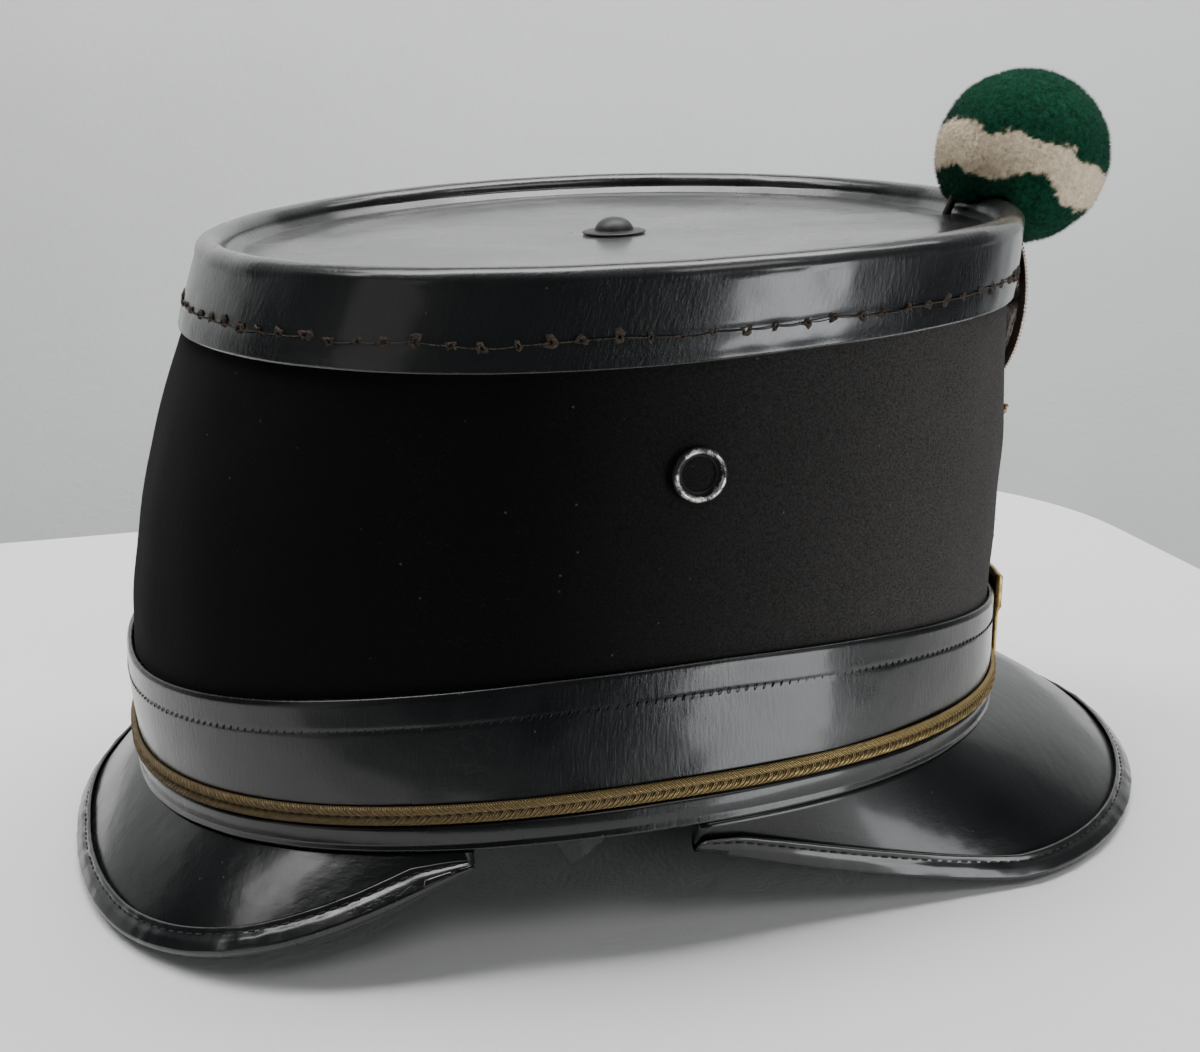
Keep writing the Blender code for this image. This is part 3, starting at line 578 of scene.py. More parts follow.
@dataclass(frozen=True)
class Felt:
    """Black wool felt: matt, with a faint brown bloom made stronger at the front as painted light, fine nap
    and lint.
    """

    name: str = "black felt nap"
    colour: tuple[float, float, float] = (0.0016, 0.0015, 0.0015)
    bloom_and_painted_light: tuple[float, float, float] = (0.0700, 0.0660, 0.0630)

    def make(self) -> bpy.types.Material:
        """Build the material."""
        paint = Paint(self.name, Roughness=1.0, Specular_IOR_Level=0.04, Sheen_Weight=0.03,
                      Sheen_Roughness=0.5)
        bench = paint.bench
        grain = paint.effect(Effect.GRAIN, Scale=2100.0)
        fibre = paint.effect(Effect.GRAIN, Scale=420.0)
        lint = paint.effect(Effect.LINT, Scale=300.0, Amount=0.16, Size=0.10)
        where = bench.add("ShaderNodeSeparateXYZ", {0: paint.position})
        # Painted light: the bloom grows towards the front (+X), where the window lights the felt
        front = bench.ramp(where.outputs["X"], -0.05, 0.075)
        share = bench.times(bench.ramp(grain.outputs["Height"], 0.25, 1.15), bench.sum(front, 0.06))
        colour = bench.mix(share, self.colour, self.bloom_and_painted_light)
        colour = bench.mix(bench.times(lint.outputs[0], 0.55), colour, (0.16, 0.15, 0.14))
        paint.feed("Base Color", colour)
        paint.bump(bench.sum(bench.times(grain.outputs["Height"], 0.00009),
                             bench.times(fibre.outputs["Height"], 0.00010)))
        return paint.material


@dataclass(frozen=True)
class Fibre:
    """Loose fibres, plain but for a change of shade along the piece."""

    name: str
    dark: tuple[float, float, float]
    light: tuple[float, float, float]
    roughness: float = 0.85
    scale: float = 500.0

    def make(self) -> bpy.types.Material:
        """Build the material."""
        paint = Paint(self.name, Roughness=self.roughness, Specular_IOR_Level=0.2)
        grain = paint.effect(Effect.GRAIN, Scale=self.scale)
        paint.feed("Base Color", paint.bench.mix(paint.bench.ramp(grain.outputs["Height"], 0.5, 1.0),
                                                 self.dark, self.light))
        return paint.material


@dataclass(frozen=True)
class Metal:
    """Old metal: dulled in patches, darkened by grime and painted shade from its mask, with fine pits."""

    name: str
    colour: tuple[float, float, float]
    dull: tuple[float, float, float]
    roughness: float = 0.30
    pits: float = 0.00002
    scale: float = 500.0

    def make(self) -> bpy.types.Material:
        """Build the material."""
        paint = Paint(self.name, Specular_IOR_Level=0.5)
        bench = paint.bench
        grain = paint.effect(Effect.GRAIN, Scale=self.scale)
        rubbed = paint.effect(Effect.WEAR, Scale=600.0, Wear=paint.mask("wear"))
        share = bench.times(grain.outputs["Patches"], bench.ramp(grain.outputs["Height"], 0.5, 1.0))
        colour = bench.mix(share, self.colour, self.dull)
        # The wear mask darkens the metal: grime, and painted shade on the cockade's back
        colour = bench.mix(rubbed.outputs[0], colour, (0.030, 0.022, 0.014))
        paint.feed("Base Color", colour)
        paint.feed("Metallic", bench.ramp(rubbed.outputs[0], 0.0, 1.0, 1.0, 0.2))
        paint.feed("Roughness", bench.ramp(share, 0.0, 1.0, self.roughness, self.roughness + 0.25))
        paint.bump(bench.times(grain.outputs["Height"], self.pits))
        return paint.material


@dataclass(frozen=True)
class Braid:
    """Metal thread braid: two ridges of slanted threads, painted shade between threads and in the dotted
    groove.
    """

    name: str = "antique gold thread"
    bright: tuple[float, float, float] = (0.42, 0.31, 0.13)
    back_brown: tuple[float, float, float] = (0.15, 0.105, 0.055)
    pitch: float = 0.00058

    def make(self) -> bpy.types.Material:
        """Build the material."""
        paint = Paint(self.name, Specular_IOR_Level=0.4)
        bench = paint.bench
        uv = bench.add("ShaderNodeSeparateXYZ", {0: paint.uv})
        fold = bench.times(bench.add("ShaderNodeMath", {0: uv.outputs["Y"]}, operation="ABSOLUTE").outputs[0],
                         1.1)
        phase = bench.times(bench.sum(uv.outputs["X"], fold), 2 * math.pi / self.pitch)
        wave = bench.add("ShaderNodeMath", {0: phase}, operation="SINE").outputs[0]
        thread = bench.ramp(wave, -0.8, 0.9)
        grain = paint.effect(Effect.GRAIN, Scale=900.0)
        where = bench.add("ShaderNodeSeparateXYZ", {0: paint.position})
        # Darker and browner towards the back (-X), broken up by the grain
        brown = bench.ramp(where.outputs["X"], 0.05, -0.11, 0.15, 0.9)
        brown = bench.sum(brown, bench.ramp(grain.outputs["Height"], 0.45, 1.0, 0.5, 1.2), how="MULTIPLY",
                          clamp=True)
        colour = bench.mix(brown, self.bright, self.back_brown)
        # Painted shade: darker between the threads and in the dotted groove
        colour = bench.mix(bench.ramp(thread, 0.0, 1.0, 0.75, 0.0), colour, (0.055, 0.036, 0.014))
        colour = bench.mix(paint.mask("groove"), colour, (0.020, 0.014, 0.008))
        paint.feed("Base Color", colour)
        paint.feed("Metallic", bench.ramp(brown, 0.0, 1.0, 0.75, 0.45))
        paint.feed("Roughness", bench.ramp(thread, 0.0, 1.0, 0.65, 0.38))
        paint.bump(bench.times(thread, 0.00020))
        return paint.material


@dataclass(frozen=True)
class WornPaint:
    """Black paint chipped down to silver metal, as on the vent eyelets."""

    name: str = "chipped black paint"
    metal: tuple[float, float, float] = (0.62, 0.61, 0.58)

    def make(self) -> bpy.types.Material:
        """Build the material."""
        paint = Paint(self.name, Specular_IOR_Level=0.5)
        bench = paint.bench
        bare = paint.effect(Effect.WEAR, Scale=1500.0, Wear=paint.mask("bare")).outputs[0]
        paint.feed("Base Color", bench.mix(bare, (0.012, 0.012, 0.013), self.metal))
        paint.feed("Metallic", bench.ramp(bare, 0.0, 1.0))
        paint.feed("Roughness", bench.ramp(bare, 0.0, 1.0, 0.5, 0.32))
        grain = paint.effect(Effect.GRAIN, Scale=1500.0)
        paint.bump(bench.sum(bench.times(grain.outputs["Height"], 0.00002),
                             bench.times(bare, -0.00006)))
        return paint.material


@dataclass(frozen=True)
class Wool:
    """Cut wool pile, green with a cream band that the piece stores for each vertex."""

    name: str = "green and cream wool"
    green: tuple[float, float, float] = (0.0050, 0.060, 0.030)
    deep: tuple[float, float, float] = (0.0010, 0.014, 0.007)
    cream: tuple[float, float, float] = (0.80, 0.68, 0.50)
    shade: tuple[float, float, float] = (0.52, 0.42, 0.30)

    def make(self) -> bpy.types.Material:
        """Build the material."""
        paint = Paint(self.name, Roughness=0.95, Specular_IOR_Level=0.10, Sheen_Weight=0.03,
                      Sheen_Roughness=0.4)
        bench = paint.bench
        grain = paint.effect(Effect.GRAIN, Scale=900.0)
        light = bench.ramp(grain.outputs["Height"], 0.45, 0.95)
        greens = bench.mix(light, self.deep, self.green)
        creams = bench.mix(light, self.shade, self.cream)
        paint.feed("Base Color", bench.mix(paint.mask("cream"), greens, creams))
        paint.bump(bench.times(grain.outputs["Height"], 0.00025))
        return paint.material


# The hat's form

@dataclass(frozen=True)
class HatForm:
    """The felt's outer face: a smooth surface through a short table of ovals.

    The table's shares are of the sizes below it, as in the CAD source.
    """

    length: float = 0.2074
    width: float = 0.1668
    height: float = 0.1170
    edge: float = 0.0284
    lean: float = 0.0145
    front_dip: float = 0.0145
    back_dip: float = 0.0105
    felt: float = 0.0024
    clearance: float = 0.0003
    cap_leather: float = 0.0015
    cap_band: float = 0.0197
    rim_radius: float = 0.0032
    plate_recess: float = 0.0050
    plate_run: float = 0.0020
    band_leather: float = 0.0015
    band_height: float = 0.0351
    binding: float = 0.0010
    braid_height: float = 0.0042
    braid_depth: float = 0.0012
    braid_rise: float = 0.0084
    columns: tuple[str, ...] = ("height", "length", "width", "lean", "squareness", "tilt", "front_dip",
                                "back_dip")
    ovals: tuple[tuple[float, ...], ...] = (
        (0.000, 0.994, 1.005, 0.09, 2.20, 0.012, 0.14, 0.62),
        (0.072, 1.000, 1.000, 0.08, 2.25, 0.022, 0.31, 0.53),
        (0.300, 1.012, 1.000, 0.10, 2.15, 0.026, 1.00, 1.00),
        (0.569, 0.995, 0.998, 0.34, 2.12, 0.034, 0.55, 0.40),
        (0.832, 0.935, 1.002, 0.72, 2.05, 0.048, 0.26, -0.19),
        (1.000, 0.914, 1.019, 1.00, 1.98, 0.023, 0.12, 0.12),
    )
    shift: float = -0.015145

    @property
    def band_top(self) -> float:
        """Level of the lower band's top edge."""
        return self.band_height / self.height

    @property
    def braid_level(self) -> float:
        """Level of the braid's middle."""
        return self.braid_rise / self.height

    @property
    def cap_low(self) -> float:
        """Level of the cap band's lower edge."""
        return 1.0 - self.cap_band / self.height

    @property
    def shoulder(self) -> float:
        """Level where the rim's roll begins."""
        return 1.0 - self.rim_radius / self.height

    @property
    def band_outside(self) -> float:
        """Distance of the lower band's outer face from the felt."""
        return self.clearance + self.band_leather

    @property
    def cap_outside(self) -> float:
        """Distance of the cap's outer face from the felt."""
        return self.clearance + self.cap_leather

    def oval(self, level: Array) -> dict[str, Array]:
        """Columns of the table at a level, by a smooth curve through its rows."""
        table = np.array(self.ovals)
        knots = table[:, 0]
        spans = np.diff(knots)[:, None]
        rates = np.diff(table, axis=0) / spans
        inner = (rates[:-1] * spans[1:] + rates[1:] * spans[:-1]) / (spans[1:] + spans[:-1])
        slopes = np.vstack([rates[:1], inner, rates[-1:]])
        level = np.clip(np.asarray(level, float), 0.0, 1.0)
        row = np.clip(np.searchsorted(knots, level, side="right") - 1, 0, len(knots) - 2)
        span = np.diff(knots)[row]
        share = ((level - knots[row]) / span)[..., None]
        span = span[..., None]
        values = (table[row] * (1 + 2 * share) * (1 - share) ** 2
                  + table[row + 1] * share ** 2 * (3 - 2 * share)
                  + slopes[row] * span * share * (1 - share) ** 2
                  - slopes[row + 1] * span * share ** 2 * (1 - share))
        return {name: values[..., number] for number, name in enumerate(self.columns)}

    def outward(self, level: Array, angle: Array) -> Array:
        """Level unit vectors out of the body, the gradient of the oval's equation."""
        oval = self.oval(level)
        power = 2.0 - 2.0 / oval["squareness"]
        cosine, sine = np.cos(angle), np.sin(angle)
        x = np.sign(cosine) * np.abs(cosine) ** power / (oval["length"] * self.length)
        y = np.sign(sine) * np.abs(sine) ** power / (oval["width"] * self.width)
        size = np.hypot(x, y)
        return np.stack([x / size, y / size, np.zeros_like(x + y)], axis=-1)

    def skin(self, level: Array, angle: Array, offset: Array = 0.0) -> Array:
        """Points at a distance from the felt's outer face: a squared oval, tilted and dipped at its ends.

        Args:
            level: share of the body's height.
            angle: turn from the front in radians.
            offset: distance outwards in metres.

        Returns:
            Points with the shape that the arguments broadcast to.
        """
        level, angle = np.broadcast_arrays(np.asarray(level, float), np.asarray(angle, float))
        oval = self.oval(level)
        power = 2.0 / oval["squareness"]
        cosine, sine = np.cos(angle), np.sin(angle)
        along = np.sign(cosine) * np.abs(cosine) ** power
        across = np.sign(sine) * np.abs(sine) ** power
        half = oval["length"] * self.length / 2
        dip = np.where(along > 0, oval["front_dip"] * self.front_dip, oval["back_dip"] * self.back_dip)
        x = self.shift + oval["lean"] * self.lean + half * along
        y = oval["width"] * self.width / 2 * across
        z = self.edge + oval["height"] * self.height + oval["tilt"] * half * along - dip * along ** 2
        return np.stack([x, y, z], -1) + self.outward(level, angle) * np.asarray(offset, float)[..., None]

    def round(self, count: int, level: float = 0.3) -> Array:
        """Angles of points at equal distances round the body at a level."""
        turn = np.linspace(-math.pi, math.pi, 2881)
        line = self.skin(level, turn)
        length = run_of(line)
        return np.interp(np.linspace(0, length[-1], count, endpoint=False), length, turn)

    def fitting(self, height: float, angle: float) -> Array:
        """Frame on the felt at a height over its edge: X to the side, Y up along it, Z out of it."""
        level, step = height / self.height, 0.01
        around = self.skin(level, angle + step) - self.skin(level, angle - step)
        rise = self.skin(level + step, angle) - self.skin(level - step, angle)
        out, up = unit(np.cross(around, rise)), unit(rise)
        made = np.eye(4)
        made[:3, 0], made[:3, 1], made[:3, 2] = np.cross(up, out), up, out
        made[:3, 3] = self.skin(level, angle)
        return made

    def rim(self, profile: Array, angles: Array) -> Array:
        """Points at (distance out, height) from the rim's shoulder, rows of the profile by angles."""
        base, out = self.skin(self.shoulder, angles), self.outward(self.shoulder, angles)
        return base[None] + out[None] * profile[:, :1, None] + UP * profile[:, 1:, None]

    @property
    def plate_edge(self) -> tuple[float, float]:
        """(distance out, height) of the sunk plate's edge, from the rim's shoulder."""
        return self.cap_outside - 2 * self.rim_radius - self.plate_run, self.rim_radius - self.plate_recess

    @property
    def plate_centre(self) -> Array:
        """Middle of the sunk plate: the mean of its edge at the source's own angles."""
        angles = np.linspace(-math.pi, math.pi, 48, endpoint=False)
        return self.rim(np.array([self.plate_edge]), angles)[0].mean(axis=0)


FORM = HatForm()


# Felt body

@dataclass
class FeltBody:
    """Felt wall with its vent holes and loose nap."""

    columns: int = 360
    rows: int = 64
    bore: float = 0.0040
    vent_height: float = 0.0745
    hairs: int = 12000
    hair_length: tuple[float, float] = (0.0006, 0.0017)
    hair_radius: float = 0.000024
    stray_share: float = 0.05

    def build(self) -> None:
        """Make the wall, drill the vents and lay the nap."""
        angles = FORM.round(self.columns)
        low, high = 0.0, FORM.shoulder - FORM.clearance / FORM.height
        levels = np.linspace(low, high, self.rows)
        outer = FORM.skin(levels[:, None], angles[None])
        out = FORM.outward(levels[:, None], angles[None])
        shown = np.clip((levels - FORM.band_top) * 12, 0, 1) * np.clip((FORM.cap_low - levels) * 12, 0, 1)
        outer += out * (ripples(outer, 0.030, 3) * 0.00022 * shown[:, None])[..., None]
        inner = FORM.skin(levels[::-1, None], angles[None], -FORM.felt)
        points = np.concatenate([outer, inner])
        wall = grid_piece("felt_wall", points, wrap_rows=True, wrap_columns=True)
        for side in (RIGHT_SIDE, -RIGHT_SIDE):
            self.drill(wall, FORM.fitting(self.vent_height, side))
        show(wall, Felt().make(), "black_felt", "felt_body")
        self.lay_nap()

    def drill(self, wall: bpy.types.Object, place: Array) -> None:
        """Cut a round vent through the wall.

        Args:
            wall: the felt.
            place: frame of the vent, Z out of the felt.
        """
        profile = np.array([(0.0, 0.01), (self.bore, 0.01), (self.bore, -0.01), (0.0, -0.01)])
        points = turned(profile[1:3], 24, place)
        faces = [[c, (c + 1) % 24, 24 + (c + 1) % 24, 24 + c] for c in range(24)]
        tool = new_mesh("drill", points.reshape(-1, 3),
                        faces + [list(range(24))[::-1], list(range(24, 48))])
        cut = wall.modifiers.new("vent", "BOOLEAN")
        cut.operation, cut.solver, cut.object = "DIFFERENCE", "EXACT", tool
        bpy.context.view_layer.update()
        cutaway = bpy.data.meshes.new_from_object(wall.evaluated_get(bpy.context.evaluated_depsgraph_get()))
        wall.modifiers.clear()
        wall.data = cutaway
        wall.data.shade_smooth()
        bpy.data.objects.remove(tool, do_unlink=True)

    def lay_nap(self) -> None:
        """Short fibres brushed round the felt and a little down, with stray ones that stand off."""
        rng = np.random.default_rng(11)
        angle = rng.choice(FORM.round(4000), self.hairs) + rng.uniform(-0.002, 0.002, self.hairs)
        level = rng.uniform(FORM.band_top, FORM.cap_low, self.hairs)
        root = FORM.skin(level, angle, -0.0001)
        out = FORM.outward(level, angle)
        side = np.cross(UP, out)
        stray = rng.uniform(size=(self.hairs, 1)) < self.stray_share
        lift = np.where(stray, rng.uniform(0.5, 1.1, (self.hairs, 1)),
                        rng.uniform(0.05, 0.30, (self.hairs, 1)))
        length = rng.uniform(*self.hair_length, (self.hairs, 1))
        droop = rng.normal(-0.25, 0.45, (self.hairs, 1))
        tip = root + unit(out * lift + side * rng.normal(0.8, 0.5, (self.hairs, 1)) + UP * droop) * length
        points, faces = spikes(root, tip, np.full(self.hairs, self.hair_radius))
        nap = mesh_piece("felt_nap", points, faces)
        show(nap, Fibre("felt fibre", (0.0020, 0.0018, 0.0017), (0.030, 0.028, 0.026)).make(), "black_felt")


# Leather cap

@dataclass
class Crown:
    """Leather cap: side band, rolled rim and sunk plate, its stitches and the button."""

    columns: int = 360
    stitch_drop: float = 0.0140
    stitch_pitch: float = 0.0064
    button: float = 0.0092
    button_flange: float = 0.0150
    button_height: float = 0.0036

    def build(self) -> None:
        """Make the cap and what is on it."""
        self.build_cap()
        self.build_stitches()
        self.build_button()

    def build_cap(self) -> None:
        """The cap: the side's rows, a half circle over the rim, the slope in, and rows to the middle."""
        angles = FORM.round(self.columns, 0.95)
        levels = np.linspace(FORM.cap_low, FORM.shoulder, 34)[:-1]
        side = FORM.skin(levels[:, None], angles[None], FORM.cap_outside)
        out = FORM.outward(levels[:, None], angles[None])
        stitch_level = FORM.cap_low + (FORM.cap_band - self.stitch_drop) / FORM.height
        groove = np.exp(-(((levels - stitch_level) * FORM.height) / 0.0011) ** 2)[:, None]
        bumps = ripples(side, 0.010, 5) * 0.00004 + ripples(side, 0.045, 6) * 0.00014
        edge = np.exp(-((levels - FORM.cap_low) * FORM.height / 0.0020) ** 2)[:, None]
        side = side + out * (bumps - 0.00022 * groove - 0.00035 * edge)[..., None]
        turn = np.linspace(0, math.pi, 19)
        roll = np.stack([FORM.cap_outside - FORM.rim_radius + FORM.rim_radius * np.cos(turn),
                         FORM.rim_radius * np.sin(turn)], axis=-1)
        last, edge_in = roll[-1], np.array(FORM.plate_edge)
        slope = last + (edge_in - last) * np.linspace(0, 1, 7)[1:, None] ** 0.8
        rim = FORM.rim(np.vstack([roll, slope]), angles)
        uneven = ripples(rim, 0.020, 7) * 0.00012
        rim = rim + FORM.outward(FORM.shoulder, angles)[None] * uneven[..., None]
        centre = FORM.plate_centre
        shares = np.linspace(0, 1, 27)[1:-1] ** 1.1
        plate = rim[-1][None] + (centre - rim[-1])[None] * shares[:, None, None]
        ring = np.exp(-((shares - 0.10) / 0.05) ** 2)[:, None]
        plate[..., 2] += (ripples(plate, 0.040, 8) * 0.00008 + ripples(plate, 0.009, 9) * 0.000012
                          + ring * 0.00030)
        rows = np.concatenate([side, rim, plate])
        count = len(rows)
        faces, place = grid_index(count, self.columns, False, True)
        flat = np.vstack([rows.reshape(-1, 3), centre])
        middle = count * self.columns
        base = (count - 1) * self.columns
        fan = [(base + c, base + (c + 1) % self.columns, middle) for c in range(self.columns)]
        corners = flat[faces]
        normal = np.cross(corners[:, 1] - corners[:, 0], corners[:, 3] - corners[:, 0])
        if ((corners.mean(1) - flat.mean(0) + UP * 0.02) * normal).sum() < 0:
            faces, place, fan = faces[:, ::-1], place[:, ::-1], [one[::-1] for one in fan]
        cap = new_mesh("leather_cap", flat, faces.tolist() + fan)
        lay_uv(cap.data, run_of(rows[0], closed=True), run_of(rows[:, 0]), place)
        plate_row = len(side) + len(rim) - 3
        face_row = np.concatenate([place[..., 0].min(axis=1), np.full(len(fan), count)])
        cap.data.polygons.foreach_set("material_index", (face_row >= plate_row).astype(np.int32))
        wear = np.zeros((count, self.columns))
        wear[0:2] = 0.30
        wear[len(side) + 5:len(side) + 12] = 0.26
        wear[len(side) + 7:len(side) + 10] = 0.33
        set_mask(cap, "wear", np.append(wear.ravel() + 0.10, 0.1))
        side_leather = Leather("cap side patent", roughness=0.26, coat=0.75, coat_roughness=0.16,
                               crease=0.00015, crease_scale=(1100.0, 330.0), grain=0.00008,
                               crack_cover=0.40).make()
        plate_leather = Leather("cap plate satin", colour=(0.012, 0.0112, 0.011), roughness=0.36,
                                smudge=0.14, shine=0.5, coat=0.15, coat_roughness=0.30,
                                grain=0.00003, grain_scale=520.0,
                                crease=0.000006, crack=0.00001, crack_cover=0.35, dust=0.12).make()
        show(add_wall(cap, FORM.cap_leather, -1), [side_leather, plate_leather], "cap_leather", "crown_cap")

    def build_stitches(self) -> None:
        """Torn stitch holes round the cap with a thin thread between them."""
        rng = np.random.default_rng(21)
        level = FORM.cap_low + (FORM.cap_band - self.stitch_drop) / FORM.height
        length = run_of(FORM.skin(level, np.linspace(-math.pi, math.pi, 721), FORM.cap_outside))[-1]
        count = int(length / self.stitch_pitch)
        angles = FORM.round(count, level) + rng.normal(0, 0.004, count)
        levels = level + rng.normal(0, 0.0022, count)
        points = FORM.skin(levels, angles, FORM.cap_outside - 0.00005)
        out = FORM.outward(levels, angles)
        # A ragged flake: a small crater whose rim height and radius vary from corner to corner
        corners = 9
        turn = np.linspace(0, 2 * math.pi, corners, endpoint=False)
        size = rng.uniform(0.0006, 0.0012, (count, 1)) * rng.uniform(0.45, 1.7, (count, corners))
        ring = np.stack([size * np.cos(turn), size * np.sin(turn) * 0.9,
                         rng.uniform(0.00005, 0.00042, (count, corners))], -1)
        lip = ring * np.array((0.52, 0.52, 1.0)) + np.array((0, 0, 0.00008))
        foot = ring * np.array((1.35, 1.35, 0.0)) - np.array((0, 0, 0.0002))
        pit = np.zeros((count, corners, 3)) + np.array((0, 0, -0.0003)) + ring * np.array((0.2, 0.2, 0.0))
        shape = np.concatenate([foot, ring, lip, pit], axis=1)
        faces, _ = grid_index(4, corners, False, True)
        flakes, flake_faces = stamped(shape, faces.tolist(), frames_from(points, np.cross(UP, out), out))
        torn = mesh_piece("cap_stitch_holes", flakes, flake_faces, inside=np.array((0.0, 0.0, 0.12)))
        show(torn, Fibre("torn leather fibre", (0.003, 0.0024, 0.002), (0.090, 0.068, 0.053),
                         scale=2600.0).make(),
             "cap_leather")
        steps = 9
        share = np.linspace(0, 1, steps)
        nxt = np.roll(np.arange(count), -1)
        gap = (angles[nxt] - angles + math.pi) % (2 * math.pi) - math.pi
        turnings = angles[:, None] + gap[:, None] * share
        heights = levels[:, None] + (levels[nxt] - levels)[:, None] * share
        sunk = 0.0004 * (np.abs(share - 0.5) > 0.49)
        off = FORM.cap_outside + 0.00008 + 0.00018 * np.sin(math.pi * share)[None] - sunk
        lines = FORM.skin(heights, turnings, off)
        sag = rng.uniform(-0.0004, 0.0001, (count, 1)) * np.sin(math.pi * share)
        lines[..., 2] += sag
        kept = rng.uniform(size=count) > 0.08
        thread = strands("cap_thread", lines[kept], np.full((kept.sum(), steps), 0.00013), 5)
        show(thread, Fibre("waxed thread", (0.006, 0.005, 0.004), (0.090, 0.070, 0.055),
                           scale=1500.0).make(),
             "cap_leather")

    def build_button(self) -> None:
        """Domed button on a thin flange in the middle of the plate."""
        dome, flange, edge = self.button / 2, self.button_flange / 2, 0.0004
        turn = np.linspace(0.02, math.pi / 2, 16)
        profile = [(dome * math.sin(t), edge + (self.button_height - edge) * math.cos(t)) for t in turn]
        profile += [(dome * 1.06, edge * 1.3), (dome * 1.2, edge), (flange * 0.96, edge * 0.9),
                    (flange, 0.0002), (flange, 0.0), (0.001, 0.0)]
        front, back = FORM.rim(np.array([FORM.plate_edge]), np.array((0.0, math.pi)))[0]
        slope = math.atan2(front[2] - back[2], front[0] - back[0])
        place = np.eye(4)
        place[:3, 0] = (math.cos(slope), 0, math.sin(slope))
        place[:3, 2] = (-math.sin(slope), 0, math.cos(slope))
        place[:3, 3] = FORM.plate_centre + UP * FORM.clearance
        points = turned(np.array(profile), 48, place)
        item = grid_piece("crown_button", points, wrap_columns=True, inside=place[:3, 3])
        set_mask(item, "bare", np.repeat(np.clip(1 - np.arange(len(profile)) / 9.0, 0, 1) * 0.22 + 0.12,
                                         48))
        show(item, WornPaint("button paint", (0.10, 0.09, 0.08)).make(), "worn_paint", "top_button")


# Bands and braid

